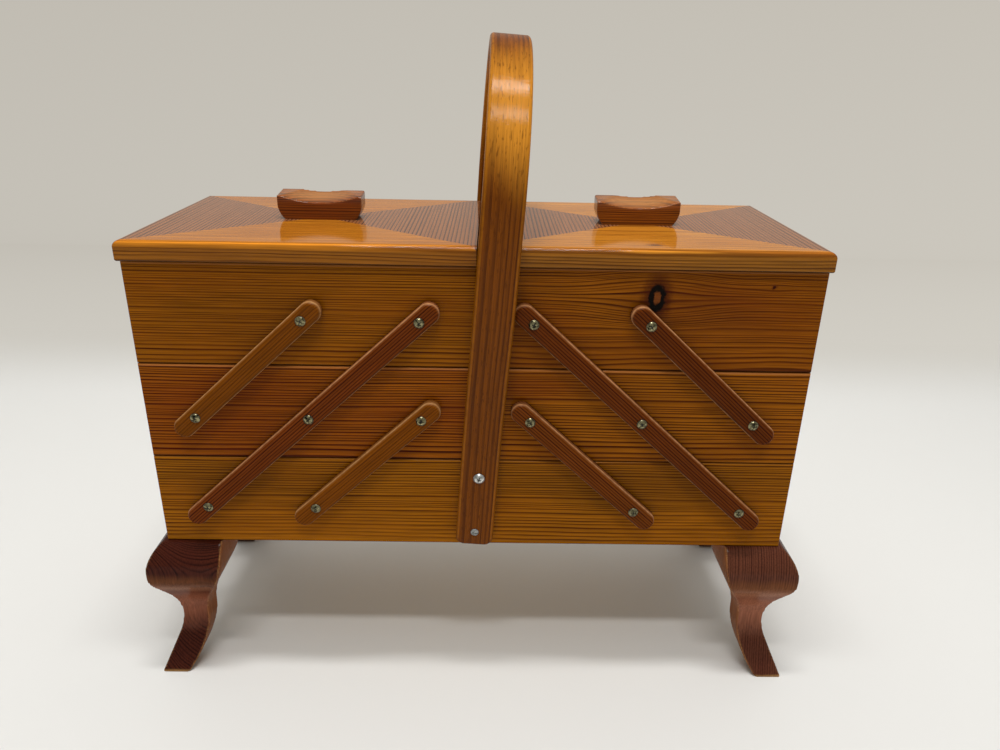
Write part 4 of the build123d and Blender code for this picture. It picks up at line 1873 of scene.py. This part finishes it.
    def bend(self, strap: bpy.types.Object) -> None:
        """Move every vertex of the flat strap to its place, and note its grain and wear.

        Args:
            strap: The flat strap, upright on its front foot.
        """
        lean = math.radians(self.lean)
        across = Vector((0.0, 1.0, 0.0))
        up = Vector((math.sin(lean), 0.0, math.cos(lean)))
        aside = Vector((math.cos(lean), 0.0, -math.sin(lean)))
        vertices = strap.data.vertices
        grain: list[float] = []
        wear: list[float] = []
        for vertex in vertices:
            x, t, s = vertex.co
            grain += (s, t, x)
            rim = min(self.width / 2 - abs(x), self.thickness / 2 - abs(t))
            worn = 1.0 - min(1.0, abs(rim) / (self.rubbed_deep * self.edge_round))
            on_edge = abs(x) > self.width / 2 - self.rubbed_wide * self.edge_round
            wear.append(worn if on_edge else 0.0)
            y, height, out_y, out_up = self.path(s)
            share = min(1.0, max(0.0, (height - self.twist_from) / self.twist_over))
            share *= share * (3 - 2 * share)
            turned = Matrix.Rotation(math.radians(self.twist) * share, 3, "Z")
            level = turned @ (across * (y + t * out_y) * (1 - self.pinch * share) + aside * x)
            vertex.co = (
                Vector(self.origin)
                + level
                + up * (height + t * out_up)
                + Vector((self.settle_x * share, 0.0, 0.0))
            )
        attribute = strap.data.attributes.new(STRAP_GRAIN, "FLOAT_VECTOR", "POINT")
        attribute.data.foreach_set("vector", grain)
        paint(strap, WEAR, wear)


# ---- screws ------------------------------------------------------------------------------
class Drive(Enum):
    """How a screw head is cut: each cut's length in head radii, and the turns of the cuts."""

    CROSS = (1.2, (0.0, 90.0))
    SLOT = (1.92, (0.0,))


@dataclass
class Screw:
    """A raised screw head with its shank, modelled facing -Y with its seat at Y = 0."""

    head_radius: float = 0.0034
    head_height: float = 0.0018
    shank_radius: float = 0.002
    shank_length: float = 0.0165
    drive: Drive = Drive.CROSS
    rim: float = 0.0003
    dulled: float = 0.0  # dirt all over the head
    cut_width: float = 0.24  # in head radii
    cut_depth: float = 0.0010
    cut_clear: float = 0.0008  # how far the cutter stands over the crown
    cut_taper: tuple[float, float] = (0.45, 0.8)  # size of the cut's floor, along and across
    sunk: float = 0.0001  # dirt and painted shade go where the metal is this far below the ball

    def ball(self) -> float:
        """Radius of the sphere that the head is cut from."""
        crown = self.head_height - self.rim
        return (self.head_radius**2 + crown**2) / (2 * crown)

    def soil_and_shade(self, place: Vector) -> float:
        """Tell how much dirt and painted shade sit at a place: full in the drive and round the rim.

        Args:
            place: A place on the head, before it is turned to face -Y.

        Returns:
            The amount from 0 to 1.
        """
        below = self.ball() - (place - Vector((0.0, 0.0, self.head_height - self.ball()))).length
        in_drive = place.z > self.rim / 2 and below > self.sunk
        return 1.0 if in_drive or place.z < self.rim + 1e-5 else self.dulled

    def build(self) -> bpy.types.Object:
        """Model the screw.

        Returns:
            The screw, at the origin.
        """
        ball = self.ball()
        deselect()
        bpy.ops.mesh.primitive_uv_sphere_add(
            segments=32, ring_count=40, radius=ball, location=(0.0, 0.0, self.head_height - ball)
        )
        head = named(bpy.context.object, "screw_head")
        bpy.ops.object.transform_apply(location=True, rotation=True, scale=True)
        bpy.ops.object.mode_set(mode="EDIT")
        bpy.ops.mesh.select_all(action="SELECT")
        bpy.ops.mesh.bisect(
            plane_co=(0.0, 0.0, self.rim),
            plane_no=(0.0, 0.0, 1.0),
            clear_inner=True,
            use_fill=False,
        )
        low = self.rim + 1e-6
        pick(head, "edges", lambda e: e.is_boundary and all(v.co.z < low for v in e.verts))
        bpy.ops.mesh.extrude_region_move(TRANSFORM_OT_translate={"value": (0, 0, -self.rim)})
        bpy.ops.mesh.extrude_region_move(TRANSFORM_OT_translate={"value": (0, 0, 0)})
        ratio = self.shank_radius / self.head_radius
        bpy.ops.transform.resize(value=(ratio, ratio, 1.0), center_override=(0.0, 0.0, 0.0))
        bpy.ops.mesh.extrude_region_move(
            TRANSFORM_OT_translate={"value": (0, 0, -self.shank_length)}
        )
        bpy.ops.mesh.edge_face_add()
        bpy.ops.mesh.select_all(action="SELECT")
        bpy.ops.mesh.normals_make_consistent(inside=False)
        bpy.ops.object.mode_set(mode="OBJECT")
        self.cut_drive(head)
        # paint dirt and shade into the drive and round the rim
        paint(head, SOILED_AND_SHADED, [self.soil_and_shade(v.co) for v in head.data.vertices])
        head.rotation_euler = (math.radians(90), 0.0, 0.0)
        return settle(head, 30.0)

    def cut_drive(self, head: bpy.types.Object) -> None:
        """Sink the slot or the cross into the head.

        Args:
            head: The plain head, facing up.
        """
        length, turns = self.drive.value
        height = self.cut_depth + self.cut_clear
        middle = self.head_height + (self.cut_clear - self.cut_depth) / 2
        floor = self.head_height - self.cut_depth / 2
        for turn in turns:
            deselect()
            bpy.ops.mesh.primitive_cube_add(size=1.0, location=(0.0, 0.0, middle))
            cutter = bpy.context.object
            cutter.scale = (self.head_radius * length, self.head_radius * self.cut_width, height)
            cutter.rotation_euler = (0.0, 0.0, math.radians(turn))
            bpy.ops.object.transform_apply(location=True, rotation=True, scale=True)
            bpy.ops.object.mode_set(mode="EDIT")
            pick(cutter, "faces", lambda f: f.calc_center_median().z < floor)
            bpy.ops.transform.resize(
                value=(*self.cut_taper, 1.0), center_override=(0.0, 0.0, floor)
            )
            bpy.ops.object.mode_set(mode="OBJECT")
            apply_modifier(head, "BOOLEAN", operation="DIFFERENCE", object=cutter, solver="EXACT")
            bpy.data.objects.remove(cutter, do_unlink=True)


@dataclass
class Screws:
    """Every screw and washer that shows."""

    carrier: Carrier
    handle: Handle
    seat_y: float = 0.08855
    handle_seat_y: float = 0.089
    handle_upper_z: float = 0.1675
    handle_lower_z: float = 0.1245
    washer_y: float = 0.0805
    washer_radius: float = 0.00355  # to the middle of the ring
    washer_section: tuple[float, float] = (0.0029, 0.0010)  # width and thickness
    leg_screw_place: tuple[float, float, float] = (0.199, 0.059, 0.113)
    pivots_mm: dict[str, tuple[float, tuple[float, ...]]] = field(
        default_factory=lambda: {
            "bottom_pivot_screws": (142.0, (-184.0, -110.0, 110.0, 184.0)),
            "left_middle_pivot_screws": (210.0, (-184.0, -110.0, -36.0)),
            "right_middle_pivot_screws": (210.0, (36.0, 110.0, 184.0)),
            "left_top_pivot_screws": (278.0, (-110.0, -36.0)),
            "right_top_pivot_screws": (278.0, (36.0, 110.0)),
        }
    )

    def build(self) -> None:
        """Make the pivot, handle and leg screws."""
        # Nickel plate gone yellow-grey, with nearly black blotches.
        nickel = PlatedSteel("tarnished_nickel_screw", "#958e6c", "#1e1d15", 0.2).material()
        # Newer zinc plate: cool, pale and evenly bright.
        zinc = PlatedSteel("bright_zinc_screw", "#d9dad6", "#8f918c", 0.22).material()
        pattern = Screw().build()
        for node, (z, places) in self.pivots_mm.items():
            spots = [(x * MM, z * MM) for x in places]
            piece = self.spread(pattern, spots, self.seat_y, node.replace("screws", "screw_set"))
            self.carrier.stand_in(piece, node, nickel)
        bpy.data.objects.remove(pattern, do_unlink=True)
        self.build_handle_screws(zinc)
        self.build_leg_screws(zinc)

    def spread(
        self,
        pattern: bpy.types.Object,
        spots: list[tuple[float, float]],
        seat_y: float,
        name: str,
    ) -> bpy.types.Object:
        """Copy one screw to spots on the front and the back, each turned by its own angle.

        Args:
            pattern: The screw to copy.
            spots: X and Z of each place.
            seat_y: Distance of the head's seat from the middle.
            name: Name of the joined piece.

        Returns:
            The joined screws.
        """
        copies = []
        for index, (x, z) in enumerate(spots):
            for half_turn in (0, 1):
                copy = twin(pattern, f"{name}_{index}_{half_turn}")
                turn = Matrix.Rotation(math.radians(37 * index + 61 * half_turn + 20), 4, "Y")
                flip = Matrix.Rotation(math.pi * half_turn, 4, "Z")
                side = 1 if half_turn else -1
                copy.data.transform(Matrix.Translation((x, side * seat_y, z)) @ flip @ turn)
                copies.append(copy)
        return joined(copies, name)

    def build_handle_screws(self, zinc: bpy.types.Material) -> None:
        """Put a large cross-head and a small slotted screw in each foot, with washers behind.

        Args:
            zinc: Finish of the screws.
        """
        large = Screw(head_radius=0.0039, head_height=0.0024)
        small = Screw(head_radius=0.0028, head_height=0.0014, drive=Drive.SLOT, dulled=0.5)
        screws = ((self.handle_upper_z, large), (self.handle_lower_z, small))
        pieces = []
        for z, screw in screws:
            pattern = screw.build()
            spots = [(self.handle.across_x(z), z)]
            name = f"handle_screw_{len(pieces)}"
            pieces.append(self.spread(pattern, spots, self.handle_seat_y, name))
            bpy.data.objects.remove(pattern, do_unlink=True)
        for z, _ in screws:
            for side in (-1, 1):
                place = (self.handle.across_x(z), side * self.washer_y, z)
                pieces.append(self.build_washer(place))
        self.carrier.stand_in(joined(pieces, "handle_screw_set"), "handle_screws", zinc)

    def build_washer(self, place: tuple[float, float, float]) -> bpy.types.Object:
        """Spin a flat ring.

        Args:
            place: Where its middle goes.

        Returns:
            The washer.
        """
        deselect()
        bpy.ops.mesh.primitive_plane_add(size=1.0, location=(0.0, 0.0, 0.0))
        ring = named(bpy.context.object, "handle_washer")
        bpy.ops.object.mode_set(mode="EDIT")
        pick(ring, "verts", lambda v: True)
        bpy.ops.transform.resize(value=(*self.washer_section, 1.0))
        bpy.ops.transform.translate(value=(self.washer_radius, 0.0, 0.0))
        bpy.ops.mesh.bevel(offset=0.0001, segments=1, affect="VERTICES")
        bpy.ops.mesh.spin(steps=32, angle=2 * math.pi, center=(0, 0, 0), axis=(0, 1, 0))
        bpy.ops.mesh.select_all(action="SELECT")
        bpy.ops.mesh.remove_doubles(threshold=1e-6)
        bpy.ops.mesh.delete_loose()
        bpy.ops.mesh.normals_make_consistent(inside=False)
        bpy.ops.object.mode_set(mode="OBJECT")
        ring.location = place
        return settle(ring, 30.0)

    def build_leg_screws(self, zinc: bpy.types.Material) -> None:
        """Put in the four screws that hold the legs, inside the bottom tray.

        Args:
            zinc: Finish of the screws.
        """
        pattern = Screw(head_radius=0.0038, head_height=0.0016, shank_length=0.018).build()
        out_x, out_y, z = self.leg_screw_place
        copies = []
        for index, (x, y) in enumerate(((-1, -1), (-1, 1), (1, -1), (1, 1))):
            copy = twin(pattern, f"leg_screw_{index}")
            upright = Matrix.Rotation(math.radians(-90), 4, "X")
            turn = Matrix.Rotation(math.radians(25 + 40 * index), 4, "Z")
            place = Matrix.Translation((out_x * x, out_y * y, z))
            copy.data.transform(place @ turn @ upright)
            copies.append(copy)
        bpy.data.objects.remove(pattern, do_unlink=True)
        self.carrier.stand_in(joined(copies, "leg_screw_set"), "leg_screws", zinc)


# ---- legs --------------------------------------------------------------------------------
@dataclass
class Legs:
    """Cabriole legs sawn twice and rubbed down, stained dark under the varnish."""

    carrier: Carrier
    foot_round: float = 0.0010
    grazing: float = 0.55  # cosine at which a side starts to count as facing inwards
    square: float = 0.75  # cosine from which it counts fully
    thin_stain: float = 0.8  # how faded the sides are that face inwards

    def build(self) -> None:
        """Make the four legs."""
        for side, sign in (("left", -1), ("right", 1)):
            for face, front in (("front", -1), ("back", 1)):
                node = f"{face}_{side}_leg"
                leg = self.carrier.softened(node, f"{face}_{side}_cabriole", 0.0010, 5)
                self.round_foot(leg)
                paint_arrises(leg)
                self.fade_inside(leg, sign)
                self.carrier.stand_in(leg, node, self.finish(node, sign, front).material())

    def finish(self, node: str, sign: int, front: int) -> Wood:
        """Choose the finish of one leg.

        Args:
            node: CAD node of the leg.
            sign: -1 for a left leg and 1 for a right one.
            front: -1 for a front leg and 1 for a back one.

        Returns:
            Its finish.
        """
        # Pine sawn to shape, stained like mahogany and varnished: nearly black red-brown with
        # glints on the knee, painted light under it, paler inside where the stain is thin, bare
        # wood on the arrises.
        stained = Wood(
            name=f"mahogany_stained_pine_leg_{node.removesuffix('_leg')}",
            early="#421c10",
            late="#0a0201",
            grain=Grain.ALONG_Z,
            heart_mm=(front * 24.0, -sign * 194.0),
            ring_mm=1.15,
            unevenness=0.8,
            wander_mm=0.9,
            wander_long_mm=90.0,
            wander_wide_mm=40.0,
            late_share=0.95,
            blush="#3c1610",
            blush_amount=0.4,
            faded="#864f2a",
            worn="#a87c4c",
            worn_amount=0.9,
            worn_steady=0.1,
            varnish=Varnish(weight=0.4, roughness=0.14, ior=1.3),
        )
        shin = "#8e543c"
        if sign > 0:
            # The right legs are quarter-sawn: lighter, with straight weak lines.
            heart = (front * 96.0, -sign * 310.0)
            stained = replace(stained, early="#5a3222", late="#2c150e", heart_mm=heart, ring_mm=1.8)
            shin = "#9a6047"
        areas = (  # distance from the middle, height, size, colour and strength
            # the first two are painted light, lighter where the knee turns down into shade
            (88.0, 74.6, (70.0, 30.0, 8.0), "#9a6a50", 0.7),  # under the knee's crease
            (95.0, 82.0, (70.0, 40.0, 9.0), "#7c4a26", 0.55),  # lower side of the knee
            (80.0, 54.0, (70.0, 60.0, 30.0), shin, 0.9),
            (88.0, 0.0, (300.0, 300.0, 2.6), "#a07848", 0.9),  # scuffed sole
        )
        patches = tuple(
            Patch((sign * 220.0, front * across, up), size, colour, strength)
            for across, up, size, colour, strength in areas
        )
        return replace(stained, patches=patches)

    def fade_inside(self, leg: bpy.types.Object, sign: int) -> None:
        """Mark the side that faces the other legs, where the stain is thin.

        Args:
            leg: Finely meshed leg.
            sign: -1 for a left leg and 1 for a right one.
        """
        inwards = Vector((-sign, 0.0, 0.0))
        span = self.square - self.grazing
        cosines = [v.normal.dot(inwards) for v in leg.data.vertices]
        shares = [min(1.0, max(0.0, (cosine - self.grazing) / span)) for cosine in cosines]
        paint(leg, FADED, [self.thin_stain * share for share in shares])

    def round_foot(self, leg: bpy.types.Object) -> None:
        """Draw the lowest part of the foot in, as a floor wears it.

        Args:
            leg: Finely meshed leg.
        """
        low = [v for v in leg.data.vertices if v.co.z < self.foot_round]
        middle = sum((v.co for v in low), Vector()) / len(low)
        half = max(abs(v.co.x - middle.x) for v in low)
        for vertex in low:
            up = self.foot_round - max(vertex.co.z, 0.0)
            inset = self.foot_round - math.sqrt(self.foot_round**2 - up**2)
            away = (vertex.co - middle) * (1.0 - inset / half)
            vertex.co = (middle.x + away.x, middle.y + away.y, vertex.co.z)


def main() -> None:
    """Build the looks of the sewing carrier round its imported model."""
    logging.basicConfig(level=logging.INFO, format="%(message)s")
    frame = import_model()
    bpy.context.scene.view_settings.view_transform = "Standard"
    PhotoCamera().build()
    Studio().build()
    carrier = Carrier(frame)
    Trays(carrier).build()
    Lids(carrier).build()
    Arms(carrier).build()
    handle = Handle(carrier)
    handle.build()
    Screws(carrier, handle).build()
    Legs(carrier).build()


if __name__ == "__main__":
    main()
